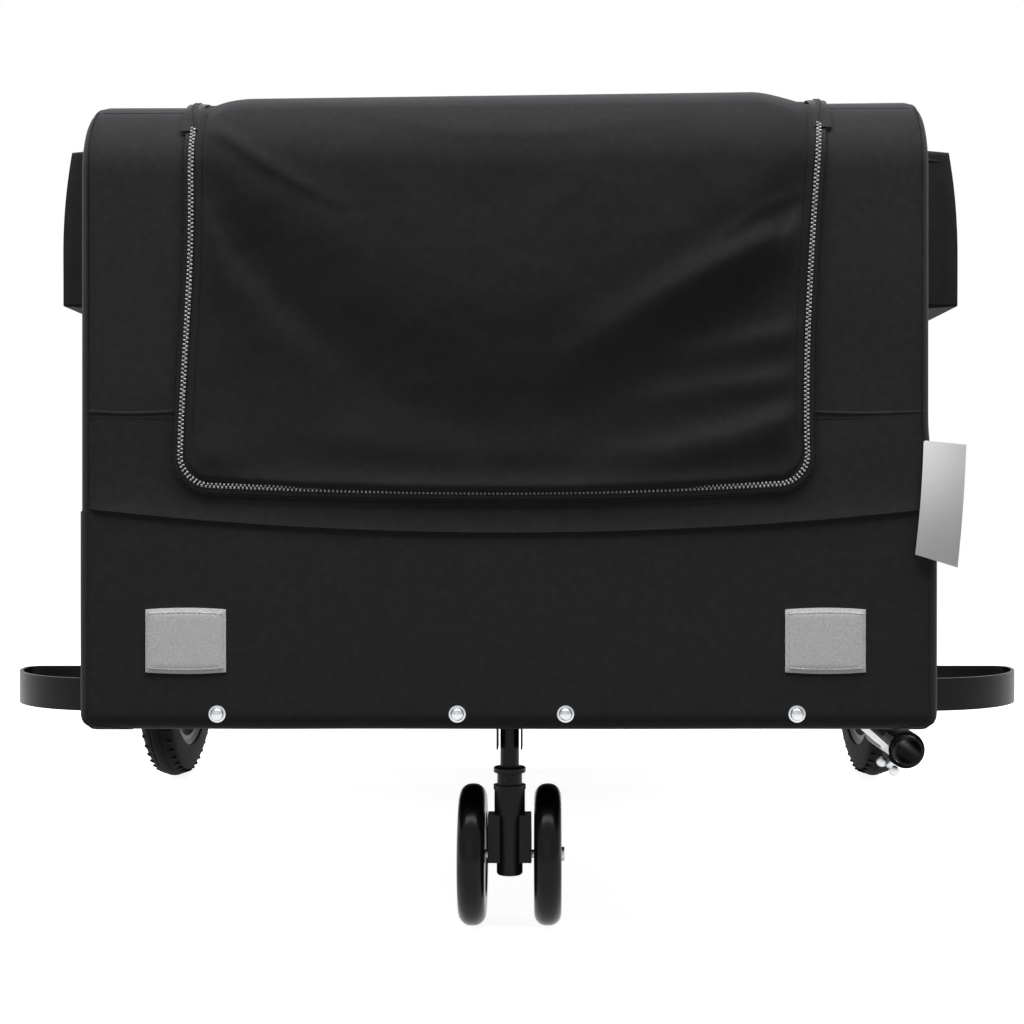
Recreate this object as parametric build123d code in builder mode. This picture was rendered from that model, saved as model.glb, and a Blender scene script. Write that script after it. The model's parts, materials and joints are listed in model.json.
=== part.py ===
from build123d import *
import os
from math import cos, radians, sin

# Bicycle trailer for a pet or cargo: a fabric box on a tube frame, two large wheels,
# a twin caster under the front and a lift-up front flap.
# Millimetres. X runs across the trailer, -Y is the way it is towed, Z is up.
# The origin is on the floor, midway between the flap's face and the wheels' rear edge.

os.makedirs("parts", exist_ok=True)

# ---------------------------------------------------------------- driving sizes
overall_length = 910.0       # flap face to the rear edge of the main wheels
body_width = 590.0
wheel_behind = 7.0           # wheels reach this far behind the fabric box
axle_over_bottom = 5.3       # axle line above the underside of the fabric
body_top = 582.0
skin = 3.0                   # padded fabric wall
top_bend = 55.0              # the walls bend into the roof at this radius
bottom_bend = 14.0           # the walls bend round the floor frame
side_bend = 12.0             # edges of the two side faces
seat_gap = 0.3               # cloth or running part beside the piece that carries it
running_gap = 0.05           # radial play of a shaft in its bore

frame_tube = 22.0            # floor frame, diameter
top_tube = 16.0              # side hoops and roof bars, diameter
hoop_inset = 12.3            # hoop axis to the inner face of the fabric
joint_block = 37.7           # corner joints of the floor frame, plan size
joint_rise = 36.0            # top of the corner joints, above the frame tubes' axes
cross_front_back = 170.0     # front cross member, behind the front face
cross_mid_back = 470.0       # middle cross member, behind the front face
floor_thick = 4.0

tub_top = 292.0              # top of the solid lower panels
rear_seam = 55.0             # rear panels reach this far forward
side_lip = 36.0              # the side skins wrap this far under the rails

flap_proud = 5.0             # the flap's face stands out from the front wall
flap_thick = 6.0
flap_hinge_deg = 60.0        # place of the hinge seam up the front bend
zip_left = 207.0             # zip lines of the flap, from the centre plane
zip_right = 219.0
zip_above_tub = 16.0         # bottom run of the zip, above the lower panels
zip_corner = 30.0
zip_gap = 5.0                # gap between flap and wall, under the zip

window_thick = 1.2
window_front_back = 235.0    # side window, behind the front face
window_rear_in = 118.0       # side window, ahead of the rear face
window_above_tub = 53.0
window_below_top = 46.0
window_corner = 34.0
rear_window_side = 95.0      # wall on each side of the rear window

pouch_back = 58.0            # pouch, behind the front face
pouch_length = 140.0
pouch_height = 114.0
pouch_below_top = 27.0
pouch_depth = 26.5
pouch_top_depth = 20.0
pouch_belly = 1.0            # the outer face swells this much past the bottom edge
pouch_edge = 4.0

wheel_radius = 150.0
tyre_width = 36.0
tyre_sunk = 4.0              # the tyre section reaches this deep into the rim
tyre_seat_radius = 116.0     # tyre sits on the rim here
rim_wall = 10.0
rim_width = 24.0
wheel_out = 94.0             # wheel centre plane, past the side of the box
hub_radius = 20.0
hub_length = 46.0
spoke_count = 6
spoke_width = 20.0
spoke_thick = 10.0
axle_tube = 20.0
axle_tube_bore = 16.0
axle_tube_out = 57.0         # ends of the axle tube, past the side of the box
axle_pin = 12.0
axle_pin_depth = 52.0        # each pin reaches this far into the tube
axle_collar = 24.0
axle_cap_thick = 8.0
axle_hole_gap = 2.0          # play of the hole in the cloth round the axle tube

guard_out = 142.0            # guard, past the side of the box
guard_far_back = 365.0       # rear leg, behind the front face
guard_straight = 29.5        # straight bar between the foot and the large bend
guard_end_straight = 1.0     # straight bar between the large bend and the corner
guard_corner = 12.0
guard_foot_bend = 8.0
guard_foot = 30.0
guard_thick = 3.0
guard_height = 27.0
guard_drop = 14.7            # lower edge of the guard, under the fabric box

socket_out = 3.0             # socket axis, past the side of the box
socket_drop = 29.7           # socket axis, under the fabric box
socket_mouth_back = 115.0    # socket mouth, behind the front face
socket_length = 120.0
socket_tube = 22.0
socket_bore = 19.0
clamp_thick = 2.5
clamp_length = 30.0
clamp_setback = 10.0         # clamp behind the socket's mouth
strap_thick = 3.0
strap_foot = 25.0            # flat foot under the cross member
strap_slope = 48.0           # sloped run, from the foot to the socket axis
wing_deg = 215.0             # direction of the wing screw round the socket
wing_stem = 8.0
wing_boss = 5.0
wing_span = 26.0
wing_height = 9.0
wing_thick = 2.5

post_diameter = 13.2
post_rise = 9.0              # top of the post, above the frame tubes' axes
web_thick = 3.0
web_half_width = 50.0
web_drop = 10.0              # drops are under the frame tubes' axes
cheek_outer = 9.1
cheek_thick = 1.2
cheek_drop = 30.0
cheek_back = 24.0
post_pin = 5.0
post_pin_drop = 6.0
upper_collar = 17.5
upper_collar_rise = 66.0     # rises and drops of the caster are from its axle
lower_collar = 21.5
lower_collar_rise = 53.3
collar_lip = 3.0
collar_lip_extra = 0.6
swivel_pin = 10.0
swivel_pin_drop = 6.0
swivel_housing = 18.3
swivel_housing_drop = 10.0
fork_width = 30.4
fork_drop = 7.5              # under the caster axle
fork_front_drop = 1.0
fork_rise = 32.5
fork_front = 6.0             # fork ahead of the swivel axis
fork_back = 11.0             # fork behind the caster axle
fork_heel_rise = 10.0        # where the fork's back starts to slope
caster_trail = 22.0
caster_radius = 50.0
caster_tyre_width = 19.3
caster_tyre_seat = 30.0
caster_tyre_round = 8.7
caster_x = 26.8
caster_axle = 6.0
caster_hub_width = 17.0
caster_nut = 10.0
caster_nut_thick = 3.4

# ---------------------------------------------------------------- worked-out places
front_y = -(overall_length / 2 - flap_proud)
rear_y = overall_length / 2 - wheel_behind
half_width = body_width / 2
body_bottom = wheel_radius - axle_over_bottom
cross_front_y = front_y + cross_front_back
cross_mid_y = front_y + cross_mid_back
window_front = front_y + window_front_back
window_rear = rear_y - window_rear_in
window_low = tub_top + window_above_tub
window_high = body_top - window_below_top
rear_window_width = body_width - 2 * rear_window_side
pouch_front = front_y + pouch_back
pouch_top = body_top - pouch_below_top
pouch_bottom = pouch_top - pouch_height
wheel_x = half_width + wheel_out
tyre_height = wheel_radius - tyre_seat_radius + tyre_sunk
rim_inner_radius = tyre_seat_radius - rim_wall
axle_tube_reach = half_width + axle_tube_out
axle_pin_root = axle_tube_reach - axle_pin_depth
guard_bend = guard_out - guard_thick / 2 - guard_foot_bend - guard_straight
guard_far_y = front_y + guard_far_back
guard_bottom = body_bottom - guard_drop
guard_near_y = guard_far_y - guard_bend - guard_corner - guard_end_straight
socket_x = half_width + socket_out
socket_z = body_bottom - socket_drop
socket_mouth_y = front_y + socket_mouth_back
strap_foot_out = socket_x - strap_slope
strap_foot_in = strap_foot_out - strap_foot
inner_half = half_width - skin
inner_front = front_y + skin
inner_rear = rear_y - skin
frame_r = frame_tube / 2
frame_z = body_bottom + skin + seat_gap + frame_r
joint_top = frame_z + joint_rise
frame_front_y = inner_front + seat_gap + frame_r
frame_rear_y = inner_rear - seat_gap - frame_r
rail_x = inner_half - seat_gap - frame_r
block_outer = inner_half - seat_gap
block_inner = block_outer - joint_block
block_front = inner_front + seat_gap
block_rear = inner_rear - seat_gap
block_bottom = body_bottom + skin + seat_gap
floor_z = frame_z + frame_r + seat_gap
hoop_x = inner_half - hoop_inset
hoop_front_y = inner_front + hoop_inset
hoop_rear_y = inner_rear - hoop_inset
hoop_z = body_top - skin - hoop_inset
hoop_bend = top_bend - skin - hoop_inset
top_r = top_tube / 2
axle_y = overall_length / 2 - wheel_radius
axle_z = wheel_radius
hinge_r = top_bend + flap_proud - flap_thick / 2
hinge_y = front_y + top_bend - hinge_r * cos(radians(flap_hinge_deg))
hinge_z = body_top - top_bend + hinge_r * sin(radians(flap_hinge_deg))
flap_end_y = hinge_y - flap_thick / 2 * cos(radians(flap_hinge_deg))
zip_bottom = tub_top + zip_above_tub
zip_centre = (zip_left - zip_right) / 2
zip_width = zip_left + zip_right
web_y = frame_front_y + frame_r
post_top = frame_z + post_rise
web_bottom = frame_z - web_drop
cheek_bottom = frame_z - cheek_drop
post_pin_z = frame_z - post_pin_drop
stem_y = web_y + web_thick + seat_gap + post_diameter / 2
caster_y = stem_y + caster_trail
caster_z = caster_radius
upper_collar_top = caster_z + upper_collar_rise
lower_collar_top = caster_z + lower_collar_rise
swivel_pin_bottom = caster_z - swivel_pin_drop
swivel_housing_bottom = caster_z - swivel_housing_drop
fork_bottom = caster_z - fork_drop
fork_front_bottom = caster_z - fork_front_drop
fork_top = caster_z + fork_rise
fork_heel = caster_z + fork_heel_rise
roof_edge = half_width - side_bend
rear_seam_y = rear_y - rear_seam
tub_lip_y = web_y - seat_gap
sides = {"left": 1, "right": -1}


def save(piece, name):
    """Label the finished piece and write it as its own STEP file."""
    piece.part.label = name
    export_step(piece.part, f"parts/{name}.step")


def body_block(inset):
    """The fabric box as a solid, drawn in by inset on every face."""
    low, high = body_bottom + inset, body_top - inset
    front, rear = front_y + inset, rear_y - inset
    with BuildPart() as block:
        with BuildSketch(Plane.YZ.offset(-half_width + inset)) as outline:
            with Locations(((front + rear) / 2, (low + high) / 2)):
                Rectangle(rear - front, high - low)
            corners = outline.vertices().group_by(Axis.Y)
            fillet(corners[-1], top_bend - inset)
            fillet(corners[0], bottom_bend - inset)
        extrude(amount=body_width - 2 * inset)
        rims = block.faces().filter_by(Axis.X).edges()
        fillet(rims, side_bend - inset)
    return block.part


outer_block = body_block(0)
inner_block = body_block(skin)


def box_between(low, high, mode=Mode.ADD):
    """A box from its low corner to its high corner, inside a part block."""
    centre = tuple((a + b) / 2 for a, b in zip(low, high))
    with Locations(centre):
        Box(*[b - a for a, b in zip(low, high)], mode=mode)


def skin_region(low, high):
    """The part of the fabric wall that lies inside one box."""
    with BuildPart() as region:
        box_between(low, high)
        add(outer_block, mode=Mode.INTERSECT)
        add(inner_block, mode=Mode.SUBTRACT)
    return region.part


def cut_cylinder_x(radius, x_low, x_high, y, z):
    """Remove a round hole along X from the part block in use."""
    with BuildSketch(Plane.YZ.offset(x_low)) as hole:
        with Locations((y, z)):
            Circle(radius)
    extrude(hole.sketch, amount=x_high - x_low, mode=Mode.SUBTRACT)


def tube_x(diameter, x_low, x_high, y, z):
    """Add a round tube along X to the part block in use."""
    with BuildSketch(Plane.YZ.offset(x_low)) as ring:
        with Locations((y, z)):
            Circle(diameter / 2)
    extrude(ring.sketch, amount=x_high - x_low)


def tube_y(diameter, y_low, y_high, x, z):
    """Add a round tube along Y to the part block in use."""
    with BuildSketch(Plane.XZ.offset(-y_low)) as ring:
        with Locations((x, z)):
            Circle(diameter / 2)
    extrude(ring.sketch, amount=-(y_high - y_low))


def zip_outline(grow):
    """The flap's outline on the front plane, grown past the zip line by grow."""
    top = body_top + top_bend
    low = zip_bottom - grow
    with Locations((zip_centre, (top + low) / 2)):
        Rectangle(zip_width + 2 * grow, top - low)


far = overall_length         # past every face of the box

# ---------------------------------------------------------------- floor frame
for end, y in (("front", frame_front_y), ("rear", frame_rear_y)):
    with BuildPart() as cross:
        tube_x(frame_tube, -block_inner, block_inner, y, frame_z)
    save(cross, f"{end}_cross_tube")

with BuildPart() as joints:
    for x in (-1, 1):
        for y_low in (block_front, block_rear - joint_block):
            near, away = sorted((x * block_inner, x * block_outer))
            box_between((near, y_low, block_bottom),
                        (away, y_low + joint_block, joint_top))
    fillet(joints.edges().filter_by(Axis.Z), side_bend)
    fillet(joints.faces().group_by(Axis.Z)[0].edges(), side_bend - 0.5)
    fillet(joints.faces().group_by(Axis.Z)[-1].edges(), skin)
save(joints, "corner_joints")

for name, side in sides.items():
    with BuildPart() as rail:
        tube_y(frame_tube, block_front + joint_block, block_rear - joint_block,
               side * rail_x, frame_z)
        cut_cylinder_x(axle_tube / 2, -far, far, axle_y, axle_z)
    save(rail, f"side_rail_{name}")

for place, y in (("front", cross_front_y), ("middle", cross_mid_y)):
    with BuildPart() as member:
        tube_x(frame_tube, -rail_x, rail_x, y, frame_z)
        for side in sides.values():
            with BuildSketch(Plane.XZ.offset(far)):
                with Locations((side * rail_x, frame_z)):
                    Circle(frame_r)
            extrude(amount=-2 * far, mode=Mode.SUBTRACT)
    save(member, f"{place}_cross_member")

with BuildPart() as axle_cross:
    tube_x(axle_tube, -axle_tube_reach, axle_tube_reach, axle_y, axle_z)
    cut_cylinder_x(axle_tube_bore / 2, axle_pin_root, axle_tube_reach, axle_y, axle_z)
    cut_cylinder_x(axle_tube_bore / 2, -axle_tube_reach, -axle_pin_root, axle_y, axle_z)
save(axle_cross, "axle_tube")

with BuildPart() as floor:
    long_y = (block_front + block_rear) / 2
    with BuildSketch(Plane.XY.offset(floor_z)):
        with Locations((0, long_y)):
            Rectangle(2 * (block_inner - seat_gap), block_rear - block_front)
            Rectangle(2 * (inner_half - seat_gap),
                      block_rear - block_front - 2 * (joint_block + seat_gap))
    extrude(amount=floor_thick)
save(floor, "floor_panel")

# ---------------------------------------------------------------- upper frame
for name, side in sides.items():
    with BuildPart() as hoop:
        with BuildLine(Plane.YZ.offset(side * hoop_x)) as route:
            FilletPolyline((hoop_front_y, joint_top), (hoop_front_y, hoop_z),
                           (hoop_rear_y, hoop_z), (hoop_rear_y, joint_top),
                           radius=hoop_bend)
        with BuildSketch(Plane(route.line @ 0, z_dir=route.line % 0)):
            Circle(top_r)
        sweep(path=route.line)
    save(hoop, f"side_hoop_{name}")

for place, y in (("front", hoop_front_y + hoop_bend + top_tube),
                 ("rear", hoop_rear_y - hoop_bend - top_tube)):
    with BuildPart() as bar:
        tube_x(top_tube, -hoop_x, hoop_x, y, hoop_z)
        for side in sides.values():
            with BuildSketch(Plane.XZ.offset(far)):
                with Locations((side * hoop_x, hoop_z)):
                    Circle(top_r)
            extrude(amount=-2 * far, mode=Mode.SUBTRACT)
    save(bar, f"{place}_roof_bar")

# ---------------------------------------------------------------- fabric walls
with BuildPart() as front_tub:
    add(skin_region((-far, front_y - 1, 0), (far, tub_lip_y, tub_top)))
save(front_tub, "front_tub_panel")

with BuildPart() as front_wall:
    add(skin_region((-far, front_y - 1, tub_top), (far, hinge_y, far)))
    with BuildSketch(Plane.XZ.offset(far)) as doorway:
        zip_outline(zip_gap / 2)
        fillet(doorway.vertices().group_by(Axis.Y)[0], zip_corner + zip_gap / 2)
    extrude(amount=-far, mode=Mode.SUBTRACT)
save(front_wall, "front_wall")

with BuildPart() as roof:
    add(skin_region((-roof_edge, hinge_y, tub_top), (roof_edge, rear_seam_y, far)))
    cut_cylinder_x(flap_thick / 2 + seat_gap, -zip_right - zip_gap, zip_left + zip_gap,
                   hinge_y, hinge_z)
save(roof, "roof_panel")

for name, side in sides.items():
    near, away = sorted((side * (half_width - side_lip), side * far))
    with BuildPart() as side_tub:
        add(skin_region((near, tub_lip_y, 0), (away, rear_seam_y, tub_top)))
        cut_cylinder_x(axle_tube / 2 + axle_hole_gap, -far, far, axle_y, axle_z)
    save(side_tub, f"side_tub_{name}")

window_size = (window_rear - window_front, window_high - window_low)
window_centre = ((window_rear + window_front) / 2, (window_high + window_low) / 2)
for name, side in sides.items():
    near, away = sorted((side * roof_edge, side * far))
    with BuildPart() as side_wall:
        add(skin_region((near, hinge_y, tub_top), (away, rear_seam_y, far)))
        with BuildSketch(Plane.YZ):
            with Locations(window_centre):
                RectangleRounded(*window_size, window_corner)
        extrude(amount=side * half_width, mode=Mode.SUBTRACT)
    save(side_wall, f"side_wall_{name}")
    with BuildPart() as side_net:
        with BuildSketch(Plane.YZ.offset(side * (half_width - skin / 2) - window_thick / 2)):
            with Locations(window_centre):
                RectangleRounded(*window_size, window_corner)
        extrude(amount=window_thick)
    save(side_net, f"side_window_{name}")

with BuildPart() as rear_tub:
    add(skin_region((-far, rear_seam_y, 0), (far, rear_y + 1, tub_top)))
    box_between((-block_inner, rear_seam_y - 1, 0),
                (block_inner, rear_y - bottom_bend - side_lip / 2, frame_z), Mode.SUBTRACT)
save(rear_tub, "rear_tub_panel")

rear_window = (rear_window_width, window_high - window_low)
rear_window_z = (window_high + window_low) / 2
with BuildPart() as rear_wall:
    add(skin_region((-far, rear_seam_y, tub_top), (far, rear_y + 1, far)))
    with BuildSketch(Plane.XZ.offset(-rear_y - 1)):
        with Locations((0, rear_window_z)):
            RectangleRounded(*rear_window, window_corner)
    extrude(amount=2 * skin + 1, mode=Mode.SUBTRACT)
save(rear_wall, "rear_wall")

with BuildPart() as rear_net:
    with BuildSketch(Plane.XZ.offset(-rear_y + skin / 2 - window_thick / 2)):
        with Locations((0, rear_window_z)):
            RectangleRounded(*rear_window, window_corner)
    extrude(amount=window_thick)
save(rear_net, "rear_window")

# ---------------------------------------------------------------- front flap
flap_outer = body_block(-flap_proud)
flap_inner = body_block(flap_thick - flap_proud)
with BuildPart() as flap:
    box_between((-far, -far, zip_bottom), (far, flap_end_y, far))
    add(flap_outer, mode=Mode.INTERSECT)
    add(flap_inner, mode=Mode.SUBTRACT)
    with BuildSketch(Plane.XZ.offset(far)) as face:
        zip_outline(-zip_gap / 2)
        fillet(face.vertices().group_by(Axis.Y)[0], zip_corner - zip_gap / 2)
    extrude(amount=-far, mode=Mode.INTERSECT)
    tube_x(flap_thick, -zip_right + zip_gap / 2, zip_left - zip_gap / 2, hinge_y, hinge_z)
save(flap, "front_flap")

# ---------------------------------------------------------------- side pouches
for name, side in sides.items():
    with BuildPart() as pouch:
        with BuildSketch(Plane.XZ.offset(-pouch_front)):
            with BuildLine():
                low_in = (side * half_width, pouch_bottom)
                low_out = (side * (half_width + pouch_depth), pouch_bottom)
                high_out = (side * (half_width + pouch_top_depth), pouch_top)
                high_in = (side * half_width, pouch_top)
                belly = (side * (half_width + pouch_depth + pouch_belly),
                         (pouch_bottom * 2 + pouch_top) / 3)
                Polyline(high_in, low_in, low_out)
                ThreePointArc(low_out, belly, high_out)
                Line(high_out, high_in)
            make_face()
        extrude(amount=-pouch_length)
        fillet(pouch.faces().sort_by(Axis.X)[-1 if side > 0 else 0].edges(), pouch_edge)
        add(outer_block, mode=Mode.SUBTRACT)
    save(pouch, f"side_pouch_{name}")

# ---------------------------------------------------------------- wheel guards
for name, side in sides.items():
    guard_x = side * (half_width + guard_thick / 2)
    out_x = side * (half_width + guard_out)
    with BuildPart() as guard:
        with BuildLine(Plane.XY.offset(guard_bottom + guard_height / 2)) as route:
            FilletPolyline((guard_x, guard_near_y - guard_foot), (guard_x, guard_near_y),
                           (out_x, guard_near_y), (out_x, guard_far_y),
                           (guard_x, guard_far_y), (guard_x, guard_far_y + guard_foot),
                           radius=[guard_foot_bend, guard_bend, guard_corner, guard_foot_bend])
        with BuildSketch(Plane(route.line @ 0, x_dir=(1, 0, 0), z_dir=route.line % 0)):
            Rectangle(guard_thick, guard_height)
        sweep(path=route.line)
    save(guard, f"wheel_guard_{name}")

# ---------------------------------------------------------------- main wheels
hub_low = wheel_x - hub_length / 2
hub_high = wheel_x + hub_length / 2
for name, side in sides.items():
    wheel_plane = Plane((side * wheel_x, axle_y, axle_z), x_dir=(1, 0, 0), z_dir=(0, -1, 0))
    with BuildPart() as tyre:
        with BuildSketch(wheel_plane):
            with Locations((0, wheel_radius - tyre_height / 2)):
                Ellipse(tyre_width / 2, tyre_height / 2)
            Rectangle(2 * tyre_width, 2 * tyre_seat_radius, mode=Mode.SUBTRACT)
        revolve(axis=Axis((side * wheel_x, axle_y, axle_z), (1, 0, 0)))
    save(tyre, f"tyre_{name}")

    with BuildPart() as rim:
        with BuildSketch(Plane.YZ.offset(side * wheel_x - rim_width / 2)):
            with Locations((axle_y, axle_z)):
                Circle(tyre_seat_radius)
                Circle(rim_inner_radius, mode=Mode.SUBTRACT)
        extrude(amount=rim_width)
        with BuildSketch(Plane.YZ.offset(side * wheel_x - spoke_thick / 2)):
            for k in range(spoke_count):
                with Locations(Location((axle_y, axle_z), k * 360 / spoke_count)):
                    with Locations(((rim_inner_radius + 1) / 2, 0)):
                        Rectangle(rim_inner_radius + 1, spoke_width)
        extrude(amount=spoke_thick)
        tube_x(2 * hub_radius, side * wheel_x - hub_length / 2,
               side * wheel_x + hub_length / 2, axle_y, axle_z)
        cut_cylinder_x(axle_pin / 2 + running_gap, -far, far, axle_y, axle_z)
    save(rim, f"wheel_rim_{name}")

    with BuildPart() as pin:
        with BuildSketch(Plane.YZ.offset(side * axle_pin_root)):
            with Locations((axle_y, axle_z)):
                Circle(axle_tube_bore / 2)
        extrude(amount=side * (axle_tube_reach - axle_pin_root))
        with BuildSketch(Plane.YZ.offset(side * axle_tube_reach)):
            with Locations((axle_y, axle_z)):
                Circle(axle_collar / 2)
        extrude(amount=side * (hub_low - seat_gap - axle_tube_reach))
        with BuildSketch(Plane.YZ.offset(side * axle_tube_reach)):
            with Locations((axle_y, axle_z)):
                Circle(axle_pin / 2)
        extrude(amount=side * (hub_high + seat_gap + axle_cap_thick - axle_tube_reach))
        with BuildSketch(Plane.YZ.offset(side * (hub_high + seat_gap))):
            with Locations((axle_y, axle_z)):
                Circle(axle_collar / 2)
        extrude(amount=side * axle_cap_thick)
    save(pin, f"axle_pin_{name}")

# ---------------------------------------------------------------- drawbar socket
clamp_front = socket_mouth_y + clamp_setback
clamp_r = socket_tube / 2 + clamp_thick
with BuildPart() as socket:
    tube_y(socket_tube, socket_mouth_y, socket_mouth_y + socket_length, socket_x, socket_z)
    with BuildSketch(Plane.XZ.offset(-socket_mouth_y)):
        with Locations((socket_x, socket_z)):
            Circle(socket_bore / 2)
    extrude(amount=-socket_length, mode=Mode.SUBTRACT)
save(socket, "drawbar_socket")

strap_z = frame_z - frame_r - strap_thick / 2
with BuildPart() as bracket:
    tube_y(2 * clamp_r, clamp_front, clamp_front + clamp_length, socket_x, socket_z)
    with BuildSketch(Plane.XZ.offset(-clamp_front)):
        with BuildLine():
            Polyline((strap_foot_in, strap_z), (strap_foot_out, strap_z),
                     (socket_x - clamp_r + strap_thick / 2, socket_z))
        trace(line_width=strap_thick)
    extrude(amount=-(cross_front_y + frame_r - clamp_front))
    with BuildSketch(Plane.XZ.offset(far)):
        with Locations((socket_x, socket_z)):
            Circle(socket_tube / 2)
    extrude(amount=-2 * far, mode=Mode.SUBTRACT)
save(bracket, "drawbar_bracket")

wing_dir = (cos(radians(wing_deg)), 0, sin(radians(wing_deg)))
wing_base = (socket_x + clamp_r * wing_dir[0], clamp_front + clamp_length / 2,
             socket_z + clamp_r * wing_dir[2])
wing_plane = Plane(wing_base, x_dir=(-wing_dir[2], 0, wing_dir[0]), z_dir=wing_dir)
with BuildPart() as wing:
    with BuildSketch(wing_plane):
        Circle(wing_stem / 2)
    extrude(amount=wing_boss + wing_height / 2)
    with BuildSketch(wing_plane.offset(wing_boss)):
        Rectangle(wing_span, wing_thick)
    extrude(amount=wing_height)
    fillet(wing.edges().filter_by(Axis.Y).group_by(Axis.Z)[0], 1)
save(wing, "drawbar_wing_screw")

# ---------------------------------------------------------------- caster mount
with BuildPart() as mount:
    box_between((-web_half_width, web_y, web_bottom),
                (web_half_width, web_y + web_thick, post_top))
    for side in sides.values():
        low, high = sorted((side * cheek_outer, side * (cheek_outer - cheek_thick)))
        box_between((low, web_y, cheek_bottom), (high, web_y + cheek_back, post_top))
    tube_x(post_pin, -cheek_outer, cheek_outer, stem_y, post_pin_z)
save(mount, "caster_bracket")

with BuildPart() as post:
    with BuildSketch(Plane.XY.offset(swivel_pin_bottom)):
        with Locations((0, stem_y)):
            Circle(swivel_pin / 2)
    extrude(amount=lower_collar_top + seat_gap - swivel_pin_bottom)
    with BuildSketch(Plane.XY.offset(lower_collar_top + seat_gap)):
        with Locations((0, stem_y)):
            Circle(upper_collar / 2)
    extrude(amount=upper_collar_top - lower_collar_top - seat_gap)
    with BuildSketch(Plane.XY.offset(upper_collar_top)):
        with Locations((0, stem_y)):
            Circle(post_diameter / 2)
    extrude(amount=post_top - upper_collar_top)
    cut_cylinder_x(post_pin / 2, -far, far, stem_y, post_pin_z)
save(post, "caster_post")

# ---------------------------------------------------------------- caster
with BuildPart() as fork:
    with BuildSketch(Plane.XY.offset(swivel_housing_bottom)):
        with Locations((0, stem_y)):
            Circle(swivel_housing / 2)
    extrude(amount=fork_top - swivel_housing_bottom)
    fillet(fork.faces().sort_by(Axis.Z)[0].edges(), 2)
    with BuildSketch(Plane.XY.offset(fork_top)):
        with Locations((0, stem_y)):
            Circle(lower_collar / 2)
    extrude(amount=lower_collar_top - fork_top)
    with BuildSketch(Plane.XY.offset(lower_collar_top - collar_lip)):
        with Locations((0, stem_y)):
            Circle(lower_collar / 2 + collar_lip_extra)
    extrude(amount=collar_lip)
    with BuildSketch(Plane.YZ.offset(-fork_width / 2)):
        with BuildLine():
            Polyline((stem_y - fork_front, fork_front_bottom),
                     (caster_y + fork_back / 2, fork_bottom),
                     (caster_y + fork_back, fork_front_bottom),
                     (caster_y + fork_back, fork_heel),
                     (stem_y + lower_collar / 2, fork_top),
                     (stem_y - fork_front, fork_top), close=True)
        make_face()
    extrude(amount=fork_width)
    with BuildSketch(Plane.XY.offset(swivel_pin_bottom - seat_gap)):
        with Locations((0, stem_y)):
            Circle(swivel_pin / 2 + running_gap)
    extrude(amount=far, mode=Mode.SUBTRACT)
    cut_cylinder_x(caster_axle / 2 + running_gap, -far, far, caster_y, caster_z)
save(fork, "caster_fork")

with BuildPart() as caster_tyres:
    for side in sides.values():
        with BuildSketch(Plane((side * caster_x, caster_y, caster_z),
                               x_dir=(1, 0, 0), z_dir=(0, -1, 0))) as section:
            with Locations((0, (caster_radius + caster_tyre_seat) / 2)):
                Rectangle(caster_tyre_width, caster_radius - caster_tyre_seat)
            fillet(section.vertices().group_by(Axis.Y)[-1], caster_tyre_round)
        revolve(axis=Axis((side * caster_x, caster_y, caster_z), (1, 0, 0)))
save(caster_tyres, "caster_tyres")

with BuildPart() as caster_hubs:
    for side in sides.values():
        tube_x(2 * caster_tyre_seat, side * caster_x - caster_hub_width / 2,
               side * caster_x + caster_hub_width / 2, caster_y, caster_z)
    cut_cylinder_x(caster_axle / 2, -far, far, caster_y, caster_z)
save(caster_hubs, "caster_hubs")

caster_face = caster_x + caster_hub_width / 2
with BuildPart() as caster_rod:
    tube_x(caster_axle, -caster_face - caster_nut_thick / 2, caster_face + caster_nut_thick,
           caster_y, caster_z)
    for x, width in ((-caster_face - caster_nut_thick / 2, caster_nut_thick / 2),
                     (caster_face, caster_nut_thick)):
        tube_x(caster_nut, x, x + width, caster_y, caster_z)
save(caster_rod, "caster_axle")
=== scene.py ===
import json
import math
import bpy
import bmesh
from mathutils import Matrix, Vector, noise


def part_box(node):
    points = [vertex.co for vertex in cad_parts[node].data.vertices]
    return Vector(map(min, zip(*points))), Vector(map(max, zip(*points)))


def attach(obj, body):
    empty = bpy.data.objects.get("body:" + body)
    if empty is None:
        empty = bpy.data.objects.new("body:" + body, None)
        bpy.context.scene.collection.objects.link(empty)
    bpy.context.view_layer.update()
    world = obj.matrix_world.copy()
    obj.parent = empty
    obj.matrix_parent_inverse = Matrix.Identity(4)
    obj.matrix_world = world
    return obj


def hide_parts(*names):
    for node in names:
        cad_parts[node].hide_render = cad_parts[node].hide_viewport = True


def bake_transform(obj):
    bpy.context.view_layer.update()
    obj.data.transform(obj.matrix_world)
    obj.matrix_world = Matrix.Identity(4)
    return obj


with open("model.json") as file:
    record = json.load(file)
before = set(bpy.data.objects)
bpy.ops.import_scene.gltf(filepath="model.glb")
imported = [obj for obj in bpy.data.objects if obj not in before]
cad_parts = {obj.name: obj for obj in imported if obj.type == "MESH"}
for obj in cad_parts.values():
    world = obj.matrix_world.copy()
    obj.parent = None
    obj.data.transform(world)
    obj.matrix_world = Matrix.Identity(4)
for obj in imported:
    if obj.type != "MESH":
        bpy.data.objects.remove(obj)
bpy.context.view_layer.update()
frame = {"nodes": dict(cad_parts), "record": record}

bl_info = {
    "name": "Bicycle trailer",
    "version": (1, 0, 0),
    "blender": (4, 5, 0),
    "location": "3D View > Sidebar > Trailer",
    "description": "Cloth box, flap, zips, wheels and caster of a bicycle trailer",
    "category": "Add Mesh",
}

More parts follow.
